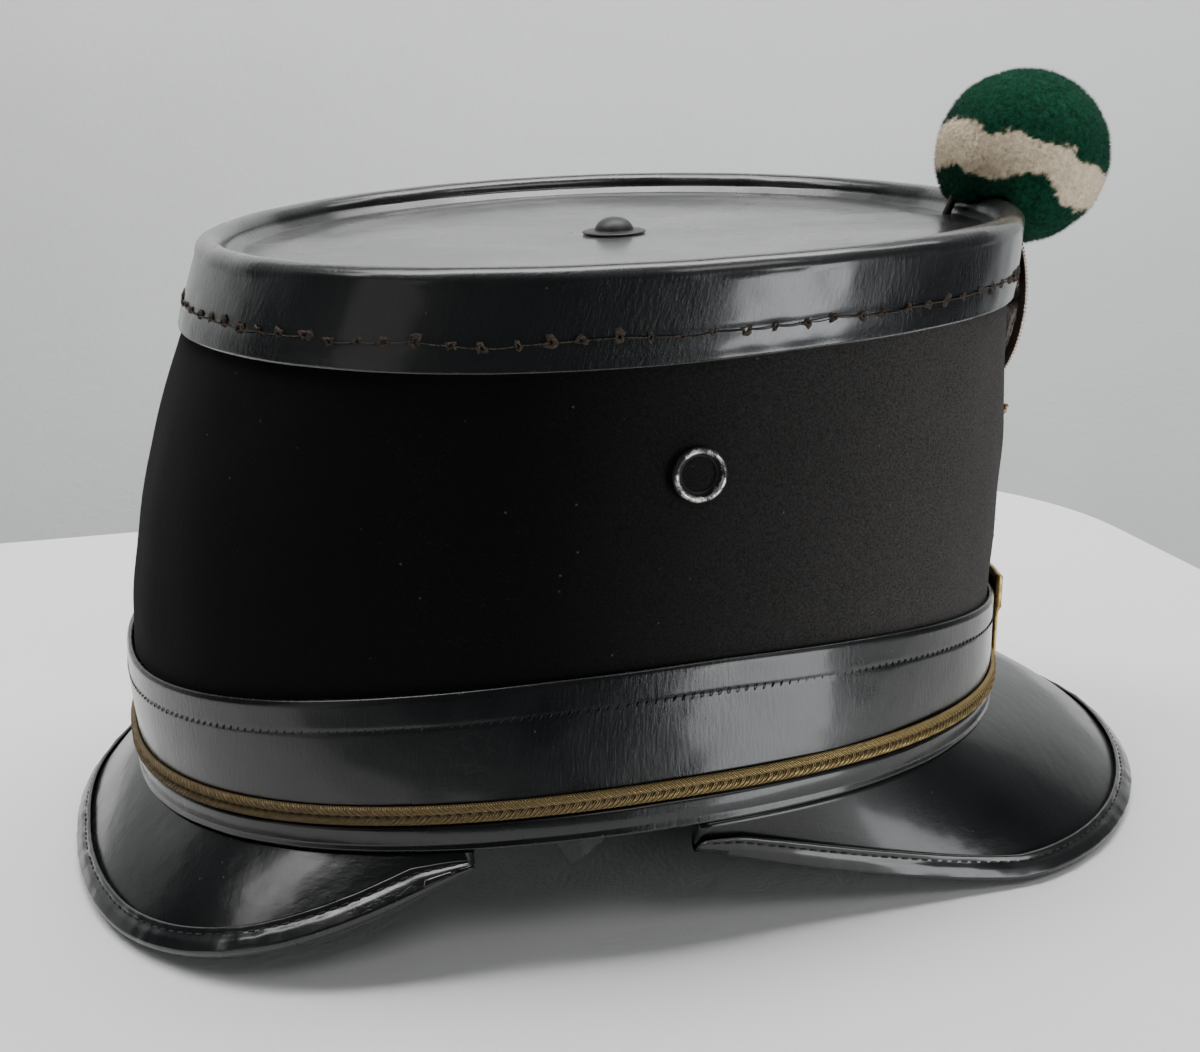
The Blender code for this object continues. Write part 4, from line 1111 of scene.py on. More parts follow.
@dataclass
class Bands:
    """Patent band, its machine stitching, the binding on the edge and the gold braid."""

    columns: int = 384
    stitch_drop: float = 0.0070
    stitch_pitch: float = 0.0020

    def build(self) -> None:
        """Make the bands from the inside out."""
        patent = Leather("band patent", roughness=0.24, smudge=0.12, coat=0.4, coat_roughness=0.13,
                         crease=0.00009, crease_scale=(1300.0, 300.0), grain=0.00003,
                         crack_cover=0.42).make()
        self.build_band(patent)
        self.build_stitches()
        self.build_binding(patent)
        self.build_braid()

    def build_band(self, patent: bpy.types.Material) -> None:
        """The wide band: a closed wall with a groove along its stitches.

        Args:
            patent: its leather.
        """
        angles = FORM.round(self.columns)
        levels = np.concatenate([np.linspace(0, 0.22, 34), np.linspace(0.222, FORM.band_top, 34)])
        outer = FORM.skin(levels[:, None], angles[None], FORM.band_outside)
        out = FORM.outward(levels[:, None], angles[None])
        stitch = FORM.band_top - self.stitch_drop / FORM.height
        groove = np.exp(-((levels - stitch) * FORM.height / 0.0006) ** 2)[:, None]
        top = np.exp(-((levels - FORM.band_top) * FORM.height / 0.0006) ** 2)[:, None]
        soft = ripples(outer, 0.050, 12) * 0.00012 + ripples(outer, 0.009, 13) * 0.00002
        outer = outer + out * (soft - 0.00010 * groove - 0.0004 * top)[..., None]
        inner = FORM.skin(levels[::-1, None], angles[None], FORM.clearance)
        points = np.concatenate([outer, inner])
        item = grid_piece("patent_band", points, True, True, run_of(outer[0], True),
                          np.append(run_of(points[:, 0]), 0.08))
        wear = np.full(points.shape[:2], 0.06)
        wear[len(levels) - 2:len(levels) + 1] = 0.40
        wear[:len(levels)] += 0.22 * groove
        set_mask(item, "wear", wear)
        show(item, patent, "patent_leather", "lower_band")

    def build_stitches(self) -> None:
        """Machine stitches in the band's groove: short slanted threads."""
        rng = np.random.default_rng(31)
        level = FORM.band_top - self.stitch_drop / FORM.height
        length = run_of(FORM.skin(level, np.linspace(-math.pi, math.pi, 721), FORM.band_outside))[-1]
        count = int(length / self.stitch_pitch)
        angles = FORM.round(count, level)
        share = np.linspace(-0.5, 0.5, 5)
        turn = angles[:, None] + share * 0.0055 * rng.uniform(0.8, 1.1, (count, 1))
        height = level + share * (0.0012 / FORM.height) * rng.uniform(0.8, 1.2, (count, 1))
        rise = FORM.band_outside - 0.00022 + 0.00024 * (1 - (2 * np.abs(share)) ** 3)
        lines = FORM.skin(height, turn, np.broadcast_to(rise, height.shape))
        radii = np.broadcast_to(0.00017 * (1 - 0.4 * np.abs(2 * share)), height.shape)
        item = strands("band_stitches", lines, radii, 5)
        show(item, Fibre("band thread", (0.006, 0.006, 0.006), (0.030, 0.028, 0.027), 0.5).make(),
             "patent_leather")

    def build_binding(self, patent: bpy.types.Material) -> None:
        """Strip round the foot of the band, with a raised lower edge.

        Args:
            patent: its leather.
        """
        angles = FORM.round(self.columns)
        back = FORM.band_outside + FORM.clearance
        low, high = FORM.skin(0.0, angles, back), FORM.skin(FORM.braid_level, angles, back)
        top = 1 - (FORM.braid_height / 2 + FORM.clearance) / (high[:, 2:] - low[:, 2:])
        out = FORM.outward(0.0, angles)
        # Share of the strip's height, and share of its thickness, round the section
        section = np.array([(0.0, 0.0), (0.0, 0.7), (0.05, 1.0), (0.14, 1.05), (0.22, 0.62), (0.32, 0.72),
                            (0.6, 0.85), (0.85, 0.85), (0.95, 0.7), (1.0, 0.3), (1.0, 0.0)])
        points = (low[None] + (high - low)[None] * top[None] * section[:, :1, None]
                  + out[None] * FORM.binding * section[:, 1:, None])
        uneven = ripples(points, 0.014, 15) * 0.00005
        points = points + out[None] * uneven[..., None] * section[:, 1:, None]
        item = grid_piece("edge_binding", points, True, True, run_of(points[0], True),
                          np.append(run_of(points[:, 0]), 0.012))
        wear = np.full(points.shape[:2], 0.10)
        wear[2:4] = 0.36
        set_mask(item, "wear", wear)
        show(item, patent, "patent_leather", "bottom_binding")

    def build_braid(self) -> None:
        """Braid: two ridges of slanted threads with a dotted groove between them."""
        count, across = 3600, 15
        angles = FORM.round(count, FORM.braid_level)
        back = FORM.band_outside + FORM.clearance
        u = run_of(FORM.skin(FORM.braid_level, angles, back), True)
        share = np.linspace(-1, 1, across)
        dots = 0.5 + 0.5 * np.cos(2 * math.pi * u[:-1] / 0.0021)
        ridge = np.abs(np.sin(math.pi * share)) ** 0.8
        body = 0.46 + 0.54 * ridge
        body[[0, -1]] = 0.15
        slant = np.cos(2 * math.pi * (u[:-1][None] + 0.0022 * np.abs(share)[:, None]) / 0.00105)
        depth = FORM.braid_depth * (body[:, None] + 0.16 * slant * ridge[:, None]
                                    - 0.30 * dots[None] * np.exp(-(share[:, None] / 0.16) ** 2))
        base, out = FORM.skin(FORM.braid_level, angles, back), FORM.outward(FORM.braid_level, angles)
        face = (base[None] + out[None] * depth[..., None]
                + UP * (share * FORM.braid_height / 2)[:, None, None])
        edges = np.array((FORM.braid_height / 2, -FORM.braid_height / 2))[:, None, None]
        rear = base[None] + UP * edges * 0.96
        points = np.concatenate([face, rear])
        v = np.concatenate([share * FORM.braid_height / 2, (0.002, -0.002), (-0.002,)])
        item = grid_piece("gold_thread_braid", points, True, True, u, v)
        # Painted shade for the dotted groove, darkest at its middle and at each dot
        dark = np.zeros(points.shape[:2])
        dark[:across] = np.exp(-(share[:, None] / 0.15) ** 2) * (0.45 + 0.55 * dots[None])
        set_mask(item, "groove", dark)
        show(item, Braid().make(), "gold_braid", "gold_braid")


# Peaks

@dataclass
class Peak:
    """A patent peak: its sheet, the rolled binding on its rim and the stitches."""

    name: str
    front: bool
    length: float
    rounding: float
    corner: float
    squareness: float
    fall: float
    corner_drop: float
    leather: float = 0.0018
    rest: float = 0.0067
    inset: float = 0.0012
    crown_radius: float = 0.1100
    flange: float = 0.0040
    binding_depth: float = 0.0060
    binding_leather: float = 0.0008
    rim_lift: float = 0.0006
    columns: int = 150
    stitch_pitch: float = 0.0026

    def lines(self) -> tuple[Array, Array]:
        """Root line under the body's edge, and rim line that falls from its corners to the floor.

        Returns:
            Root and rim, from the right corner over the tip to the left corner.
        """
        side = 1.0 if self.front else -1.0
        start, end = (RIGHT_SIDE * 1.9, 0.0) if self.front else (RIGHT_SIDE * 0.1, -math.pi)
        move = np.array((FORM.shift, 0.0, 0.0))
        edge = FORM.skin(0.0, np.linspace(start, end, 2881), FORM.band_outside) - move
        root = spread(edge[edge[:, 0] * side >= self.corner * side], self.columns, 0.8)
        root = root - UP * (FORM.clearance + self.leather / 2)
        tip = side * edge[-1, 0] + self.length
        half = FORM.width / 2 - self.inset
        flat = tip - self.rounding
        turns = np.linspace(0.0, math.pi / 2, 721)
        along = np.concatenate([np.linspace(side * self.corner, flat, 240, endpoint=False),
                                flat + self.rounding * np.sin(turns) ** (2 / self.squareness)])
        across = np.concatenate([np.full(240, half), half * np.cos(turns) ** (2 / self.squareness)])
        kept = along >= side * self.corner
        along, across = along[kept], across[kept]
        rest = flat if self.front else tip - self.rest
        fall = np.clip((rest - along) / (rest - along[0]), 0.0, 1.0)
        height = self.rim_lift + (root[0, 2] - self.corner_drop - self.rim_lift) * fall ** self.fall
        rim = spread(np.stack([side * along, -across, height], -1), self.columns)
        mirror = np.array((1.0, -1.0, 1.0))
        whole = [np.vstack([half_line, half_line[::-1][1:] * mirror]) + move for half_line in (root, rim)]
        return whole[0], whole[1]

    @staticmethod
    def beside(line: Array, direction: Array) -> Array:
        """Unit vectors square to a line and to a direction, on the side that faces out at its middle."""
        square = unit(np.cross(direction, np.gradient(line, axis=0)))
        middle = len(line) // 2
        facing = np.array((np.sign(line[middle, 0]), 0.0, 1.0))
        return square * np.sign(square[middle] @ facing)

    def build(self) -> None:
        """Make the sheet, the binding and the stitches."""
        root, rim = self.lines()
        length = np.linalg.norm(rim - root, axis=1, keepdims=True)
        run = (rim - root) / length
        crown = self.beside(rim, run) * length ** 2 / (8 * self.crown_radius)
        back = unit(4 * crown - run * length)
        out = self.beside(rim, back)
        inward = np.cross(out, unit(np.gradient(rim, axis=0)))
        inward *= np.sign((inward * back).sum(1, keepdims=True))
        slant = (inward * back).sum(1, keepdims=True)
        self.build_sheet(root, rim, length, run, crown, slant)
        self.build_binding(rim, inward, out, length, slant)

    def build_sheet(self, root: Array, rim: Array, length: Array, run: Array, crown: Array,
                    slant: Array) -> None:
        """The crowned sheet: straight lines from root to rim, raised by a parabola.

        Args:
            root: root line.
            rim: rim line.
            length: length of each line between them.
            run: its direction.
            crown: rise of its middle over a quarter.
            slant: how square it meets the rim.
        """
        reach = 1.0 - (self.binding_leather + 2 * FORM.clearance) / (length * slant)
        shares = np.linspace(0, 1, 44)[:, None, None] * reach[None]
        sheet = root[None] + run * length * shares + crown * 4 * shares * (1 - shares)
        turned_in = (self.beside(root, UP) * self.flange)[None]
        flange = root[None] - turned_in * np.array((1.0, 0.5))[:, None, None]
        points = np.concatenate([flange, sheet])
        lift = (ripples(points, 0.020, 41 + self.front) * 0.00005
                + ripples(points, 0.005, 43 + self.front) * 0.000015)
        way = np.linspace(0, 1, 44)
        calm = np.concatenate([[0, 0], np.clip(way * 8, 0, 1) * np.clip((1 - way) * 5, 0, 1)])
        points[..., 2] += lift * calm[:, None]
        item = grid_piece(self.name + "_sheet", points, u=run_of(rim),
                          v=run_of(points[:, self.columns - 1]),
                          inside=points.mean(axis=(0, 1)) - UP * 0.2)
        wear = np.full(points.shape[:2], 0.04)
        wear[-12:] += np.linspace(0, 0.16, 12)[:, None]
        wear[:5] += 0.12
        set_mask(item, "wear", wear)
        patent = Leather(self.name + " patent", roughness=0.26, smudge=0.14, shine=0.28, coat=0.4,
                         coat_roughness=0.14,
                         grain=0.00007, grain_scale=330.0, crease=0.00004, crease_scale=(160.0, 420.0),
                         crack=0.00002, crack_scale=230.0, crack_cover=0.45, dust=0.10).make()
        show(add_wall(item, self.leather, 0), patent, "patent_leather", self.name)

    def build_binding(self, rim: Array, inward: Array, out: Array, length: Array, slant: Array) -> None:
        """Folded strip on the rim: a rolled lip, a stitched groove and a thin inner edge.

        Args:
            rim: rim line.
            inward: into the sheet, square to the rim.
            out: out of the sheet's upper face.
            length: length of each line from root to rim.
            slant: how square that line meets the rim.
        """
        inner = self.leather / 2 + 2 * FORM.clearance
        outer = inner + self.binding_leather
        depth = np.minimum(self.binding_depth, 0.6 * length * slant)
        turn = np.linspace(math.pi / 2, -math.pi / 2, 13)
        lip = np.stack([np.zeros(13), 0.5 * outer * (1 - np.cos(turn)), outer * np.sin(turn)], -1)
        upper = np.array([(1.0, 0.0, inner + 0.0001), (1.0, 0.0, inner + 0.6 * self.binding_leather),
                          (0.92, 0.0, inner + 0.85 * self.binding_leather),
                          (0.80, 0.0, inner + 0.55 * self.binding_leather),
                          (0.70, 0.0, inner + 0.55 * self.binding_leather), (0.60, 0.0, outer * 0.96),
                          (0.45, 0.0, outer * 1.0), (0.20, 0.0, outer * 1.0)])
        lower = upper[::-1] * np.array((1.0, 1.0, -1.0))
        bottom = np.array([(1.0, 0.0, -inner), (0.0, self.binding_leather, -inner),
                           (0.0, self.binding_leather, inner), (1.0, 0.0, inner)])
        section = np.vstack([upper, lip, lower, bottom])
        points = (rim[None] + inward[None] * (depth[None] * section[:, :1, None] + section[:, 1:2, None])
                  + out[None] * section[:, 2:, None])
        uneven = ripples(points, 0.007, 51 + self.front) * 0.00007
        loose = (np.abs(section[:, 2]) > inner + 0.0002)[:, None, None]
        points = points + out[None] * uneven[..., None] * loose
        points[..., 2] = np.maximum(points[..., 2], 0.0)
        item = grid_piece(self.name + "_rolled_edge", points, wrap_rows=True, u=run_of(rim),
                          v=np.append(run_of(points[:, self.columns - 1]), 0.03), ends=True)
        wear = np.full(points.shape[:2], 0.08)
        wear[len(upper):len(upper) + 13] = 0.26
        wear[2:5] = 0.24
        set_mask(item, "wear", wear)
        patent = Leather(self.name + " edge patent", roughness=0.26, smudge=0.16, coat=0.6,
                         coat_roughness=0.14,
                         crease=0.00009, crease_scale=(700.0, 120.0), crack=0.00002, crack_scale=420.0,
                         crack_cover=0.50).make()
        show(item, patent, "patent_leather", self.name + "_binding")
        self.build_stitches(rim, inward, out, depth, inner + 0.55 * self.binding_leather)

    def build_stitches(self, rim: Array, inward: Array, out: Array, depth: Array, height: float) -> None:
        """Stitches along the groove of the binding.

        Args:
            rim: rim line.
            inward: into the sheet.
            out: out of its upper face.
            depth: depth of the binding at each point of the rim.
            height: height of the groove over the sheet's middle.
        """
        path = rim + inward * depth * 0.75 + out * height
        run = run_of(path)
        count = int(run[-1] / self.stitch_pitch)
        at = np.linspace(run[0] + 0.004, run[-1] - 0.004, count)
        share = np.linspace(-0.5, 0.5, 5)
        along = at[:, None] + share * self.stitch_pitch * 0.62
        lines = np.stack([np.interp(along, run, path[:, axis]) for axis in range(3)], -1)
        up = np.stack([np.interp(along, run, out[:, axis]) for axis in range(3)], -1)
        lines += up * (0.00018 * (1 - (2 * np.abs(share)) ** 3) - 0.00010)[None, :, None]
        item = strands(self.name + "_stitches", lines, np.full(lines.shape[:2], 0.00019), 5)
        show(item, Fibre(self.name + " thread", (0.006, 0.006, 0.006), (0.045, 0.040, 0.036), 0.55).make(),
             "patent_leather")


# Metal fittings and the leather corner

@dataclass
class Fittings:
    """Vent eyelets, cockade, crossed rifles, plate and leather corner."""

    eyelet: float = 0.0115
    eyelet_bore: float = 0.0058
    eyelet_barrel: float = 0.0074
    eyelet_height: float = 0.0745
    cockade: float = 0.0480
    cockade_depth: float = 0.0046
    cockade_metal: float = 0.0008
    cockade_height: float = 0.0913
    cockade_standoff: float = 0.0030
    rifle: float = 0.0500
    rifle_height: float = 0.0568
    plate_length: float = 0.0560
    plate_height: float = 0.0245
    plate_overlap: float = 0.0025
    tab_drop: float = 0.0085
    tab_rise: float = 0.0100
    tab_leather: float = 0.0014

    def build(self) -> None:
        """Make every fitting."""
        paint = WornPaint().make()
        for side, angle in (("right", RIGHT_SIDE), ("left", -RIGHT_SIDE)):
            self.build_eyelet(side, FORM.fitting(self.eyelet_height, angle), paint)
        self.build_cockade()
        self.build_rifles()
        self.build_plate()
        self.build_tab()

    def build_eyelet(self, side: str, place: Array, paint: bpy.types.Material) -> None:
        """Rolled eyelet: a funnel into the bore, a round lip, and a washer inside.

        Args:
            side: which side of the hat.
            place: its frame, Z out of the felt.
            paint: its finish.
        """
        bore, barrel, rim, seat = self.eyelet_bore / 2, self.eyelet_barrel / 2, self.eyelet / 2, 0.0006
        inside = -(FORM.felt + seat)
        turn = np.linspace(math.pi * 0.94, 0, 13)
        half = 0.00075
        middle = rim - half
        lip = [(middle + half * math.cos(t), seat + 0.0002 + 0.0011 * math.sin(t)) for t in turn]
        funnel = [(bore, inside - 0.0005), (bore, -0.0012), (bore + 0.0002, -0.0004),
                  (bore + 0.0009, 0.0004)]
        back = [(rim - 0.0001, seat), (barrel, seat), (barrel, inside), (0.9 * rim, inside),
                (0.9 * rim, inside - 0.0006)]
        profile = np.array(funnel + lip + back)
        points = turned(profile, 48, place)
        item = grid_piece("vent_eyelet_" + side, points, True, True)
        shine = np.concatenate([(0.05, 0.12, 0.30, 0.22),
                                0.06 + 0.52 * np.sin(np.linspace(0.5, math.pi, 13)), np.full(5, 0.1)])
        set_mask(item, "bare", np.repeat(shine, 48) + ripples(points, 0.004, 61).ravel() * 0.10)
        show(item, paint, "worn_paint", "eyelet_" + side)

    def cockade_frame(self) -> Array:
        """Frame of the cockade's rim plane: off the felt, its top clear of the cap's shoulder."""
        middle = FORM.fitting(self.cockade_height, 0.0)[:3, 3] + np.array((self.cockade_standoff, 0.0, 0.0))
        clear = FORM.cap_outside + 2 * FORM.clearance + self.cockade_metal
        shoulder = FORM.rim(np.array([(clear, 0.0)]), np.array((0.0,)))[0, 0]
        lean = math.atan2(shoulder[0] - middle[0], shoulder[2] - middle[2])
        place = np.eye(4)
        place[:3, 0] = (-math.sin(lean), 0, -math.cos(lean))
        place[:3, 2] = (math.cos(lean), 0, -math.sin(lean))
        place[:3, 3] = middle
        return place

    def build_cockade(self) -> None:
        """Dished disc: dome, ring of rays, valley, and a rim pressed into small teeth."""
        radius, depth = self.cockade / 2, self.cockade_depth
        shares = np.concatenate([np.linspace(0.01, 0.86, 34), np.linspace(0.87, 1.0, 12)])
        knots = np.array(((0.0, 1.0), (0.25, 0.93), (0.52, 0.66), (0.76, 0.22), (0.88, 0.05), (1.0, 0.10)))
        height = np.interp(shares, knots[:, 0], knots[:, 1]) * depth
        smooth = np.convolve(np.pad(height, 3, mode="edge"), np.ones(7) / 7, "valid")
        steps = 480
        turn = np.linspace(0, 2 * math.pi, steps, endpoint=False)
        teeth = 0.5 + 0.5 * np.cos(turn * 150)
        rim = np.clip((shares - 0.885) / 0.03, 0, 1)[:, None]
        rays = 0.5 + 0.5 * np.cos(turn * 32)
        field_of_rays = (np.exp(-((shares - 0.62) / 0.12) ** 2))[:, None]
        rings = 0.00025 * np.cos(shares * 2 * math.pi * 9)[:, None] * (np.abs(shares - 0.3) < 0.12)[:, None]
        notches = 0.00040 * rim * (1 - teeth)
        face = smooth[:, None] - notches + 0.00030 * field_of_rays * (rays - 0.5) + rings * 0.5
        spread_out = radius * shares[:, None] - 0.00030 * (shares > 0.995)[:, None] * (1 - teeth)
        rear = np.broadcast_to(smooth[::-1, None] - self.cockade_metal, (len(shares), steps))
        reach = np.concatenate([np.broadcast_to(spread_out, face.shape),
                                np.broadcast_to(radius * 0.997 * shares[::-1, None], rear.shape)])
        high = np.concatenate([face, rear])
        local = np.stack([reach * np.cos(turn), reach * np.sin(turn), high], -1)
        place = self.cockade_frame()
        points = local @ place[:3, :3].T + place[:3, 3]
        item = grid_piece("metal_cockade", points, wrap_columns=True)
        # Grime in the hollows of teeth and rays; the back darkens to its middle as painted shade by the felt
        darkening = np.concatenate([0.10 + 0.22 * (1 - teeth[None]) * rim + 0.16 * field_of_rays * (1 - rays),
                                np.broadcast_to(np.clip(1.25 - shares[::-1, None], 0.28, 0.6), rear.shape)])
        set_mask(item, "wear", darkening)
        shank = turned(np.array([(0.0001, 0.004), (0.0022, 0.004), (0.0022, -0.0023), (0.0001, -0.0023)]),
                       20, place)
        post = grid_piece("cockade_shank", shank, wrap_columns=True)
        copper = Metal("coppered silver", (0.62, 0.50, 0.43), (0.36, 0.25, 0.19), 0.26).make()
        show(item, copper, "coppered_metal", "cockade")
        set_mask(post, "wear", np.full(80, 0.3))
        show(post, copper, "coppered_metal")

    def build_rifles(self) -> None:
        """Two crossed rifles: an oval section carried along each, with bands, guard and bolt."""
        place = FORM.fitting(self.rifle_height, 0.0)
        # Along the rifle from the butt, half width, half depth and drop of the stock, as shares of its length
        table = np.array(((-0.500, 0.050, 0.016, 0.030), (-0.490, 0.064, 0.022, 0.030),
                          (-0.400, 0.056, 0.022, 0.022), (-0.290, 0.042, 0.022, 0.008),
                          (-0.230, 0.050, 0.021, 0.012), (-0.190, 0.056, 0.021, 0.014),
                          (-0.050, 0.033, 0.020, 0.004), (0.060, 0.028, 0.019, 0.004),
                          (0.200, 0.025, 0.018, 0.005), (0.300, 0.022, 0.017, 0.006),
                          (0.310, 0.013, 0.013, 0.008), (0.440, 0.012, 0.012, 0.008),
                          (0.445, 0.020, 0.016, 0.008), (0.470, 0.020, 0.016, 0.008),
                          (0.475, 0.012, 0.012, 0.008), (0.500, 0.011, 0.011, 0.008)))
        along = np.linspace(-0.5, 0.5, 121)
        half, depth, drop = (np.interp(along, table[:, 0], table[:, column]) for column in (1, 2, 3))
        turn = np.linspace(0, 2 * math.pi, 20, endpoint=False)
        bronze = Metal("dull bronze", (0.40, 0.29, 0.15), (0.15, 0.11, 0.07), 0.34, scale=700.0).make()
        for number, side in enumerate((1.0, -1.0)):
            lift = 0.0012 + number * 0.0007
            across = np.sign(np.sin(turn)) * np.abs(np.sin(turn)) ** 0.6
            deep = np.sign(np.cos(turn)) * np.abs(np.cos(turn)) ** 0.5
            local = np.stack([np.broadcast_to(along[:, None], (121, 20)),
                              half[:, None] * across + drop[:, None],
                              depth[:, None] * deep], -1) * self.rifle
            guard_turn = np.linspace(0, math.pi, 15)
            guard = np.stack([-0.16 + 0.045 * np.cos(guard_turn), -0.032 - 0.035 * np.sin(guard_turn),
                              np.zeros(15)], -1)
            bolt = np.stack([np.full(15, -0.115), np.linspace(0.02, 0.075, 15),
                             np.linspace(0.0, 0.012, 15)], -1)
            lines = np.stack([guard, bolt]) * self.rifle
            diagonal = math.sqrt(0.5)
            spin = np.array(((diagonal * side, diagonal * side, 0.0), (diagonal, -diagonal, 0.0),
                             (0.0, 0.0, 1.0)))
            placed = [(part @ spin.T + np.array((0, 0, lift))) @ place[:3, :3].T + place[:3, 3]
                      for part in (local, lines)]
            item = grid_piece(f"rifle_{number + 1}", placed[0].transpose(1, 0, 2), wrap_rows=True,
                              ends=True)
            # Darker on the half of each rifle's section that faces the felt
            set_mask(item, "wear", np.repeat((0.12 + 0.22 * (np.cos(turn) < 0.2))[:, None], 121, axis=1))
            fine = strands(f"rifle_{number + 1}_guard", placed[1], np.full((2, 15), 0.00042), 8)
            set_mask(fine, "wear", np.full(len(fine.data.vertices), 0.15))
            if number == 0:
                show(item, bronze, "bronze", "rifle_badge")
            else:
                show(item, bronze, "bronze")
            show(fine, bronze, "bronze")

    def build_plate(self) -> None:
        """Brass plate bent round the band: a raised upper bar over a thinner field with a low border."""
        reach = self.plate_length / FORM.width
        angles = np.linspace(-reach, reach, 121)
        back = FORM.band_outside + 0.0008
        share = np.linspace(0, 1, 70)
        bar = 1 / (1 + np.exp(-(share - 0.62) / 0.012)) * (1 - 1 / (1 + np.exp(-(share - 0.985) / 0.006)))
        across = np.abs(np.linspace(-1, 1, 121))
        border = np.maximum(np.exp(-((across - 0.965) / 0.022) ** 2)[None],
                            np.exp(-((share - 0.05) / 0.03) ** 2)[:, None])
        bead = np.exp(-((share - 0.66) / 0.014) ** 2)[:, None]
        relief = 0.0009 + 0.0007 * bar[:, None] + 0.00020 * border + 0.00015 * bead
        base, out = FORM.skin(FORM.band_top, angles), FORM.outward(FORM.band_top, angles)
        height = self.plate_overlap - self.plate_height + share * self.plate_height
        face = base[None] + out[None] * (back + relief)[..., None] + UP * height[:, None, None]
        rear = base[None] + out[None] * back + UP * height[::-1, None, None]
        item = grid_piece("brass_plate", np.concatenate([face, rear]), wrap_rows=True, ends=True)
        # Darker in a line along the foot of the raised bar; the hidden back darker still
        dark = 0.12 + 0.16 * np.exp(-((share - 0.60) / 0.03) ** 2)[:, None]
        darkening = np.broadcast_to(dark, (len(share), len(across)))
        set_mask(item, "wear", np.concatenate([darkening, np.full(darkening.shape, 0.5)]))
        show(item, Metal("worn brass", (0.50, 0.35, 0.14), (0.28, 0.18, 0.07), 0.30).make(), "brass",
             "lower_badge")

    def build_tab(self) -> None:
        """Leather corner: a bent sheet that narrows to a point below the edge, with a rough face."""
        left, right, point = np.radians((-13.0, -4.5, -10.1)) + RIGHT_SIDE
        offset = -(FORM.felt + FORM.clearance + self.tab_leather)
        rows, columns = 40, 26
        drop = np.linspace(self.tab_rise, -self.tab_drop, rows)[:, None]
        narrow = np.clip(-drop / self.tab_drop, 0, 1)
        across = np.linspace(0, 1, columns)[None]
        angle = left + (right - left) * across
        angle = angle + (point - angle) * narrow * 0.985
        level = np.broadcast_to(np.clip(drop, 0, None) / FORM.height, angle.shape)
        outer = FORM.skin(level, angle, offset + self.tab_leather)
        outer[..., 2] += np.minimum(drop, 0)
        out = FORM.outward(level, angle)
        outer = outer + out * (ripples(outer, 0.004, 71) * 0.00012)[..., None]
        item = grid_piece("leather_corner", outer, u=np.linspace(0, 0.02, columns),
                          v=np.linspace(0, 0.02, rows),
                          inside=(0, 0, 0.03))
        # Painted shade: the two left columns get no rub and stay dark; elsewhere rub grows to the right
        wear = np.full(outer.shape[:2], 0.26) + 0.18 * across
        wear[:, :2] = 0.0
        set_mask(item, "wear", wear)
        leather = Leather("grey worn leather", colour=(0.018, 0.018, 0.019), worn=(0.075, 0.073, 0.070),
                          roughness=0.5,
                          coat=0.05, coat_roughness=0.3, grain=0.00008, grain_scale=600.0, crack=0.0001,
                          crack_cover=0.55).make()
        show(add_wall(item, self.tab_leather, -1), leather, "grey_leather", "leather_tab")


# Pompom

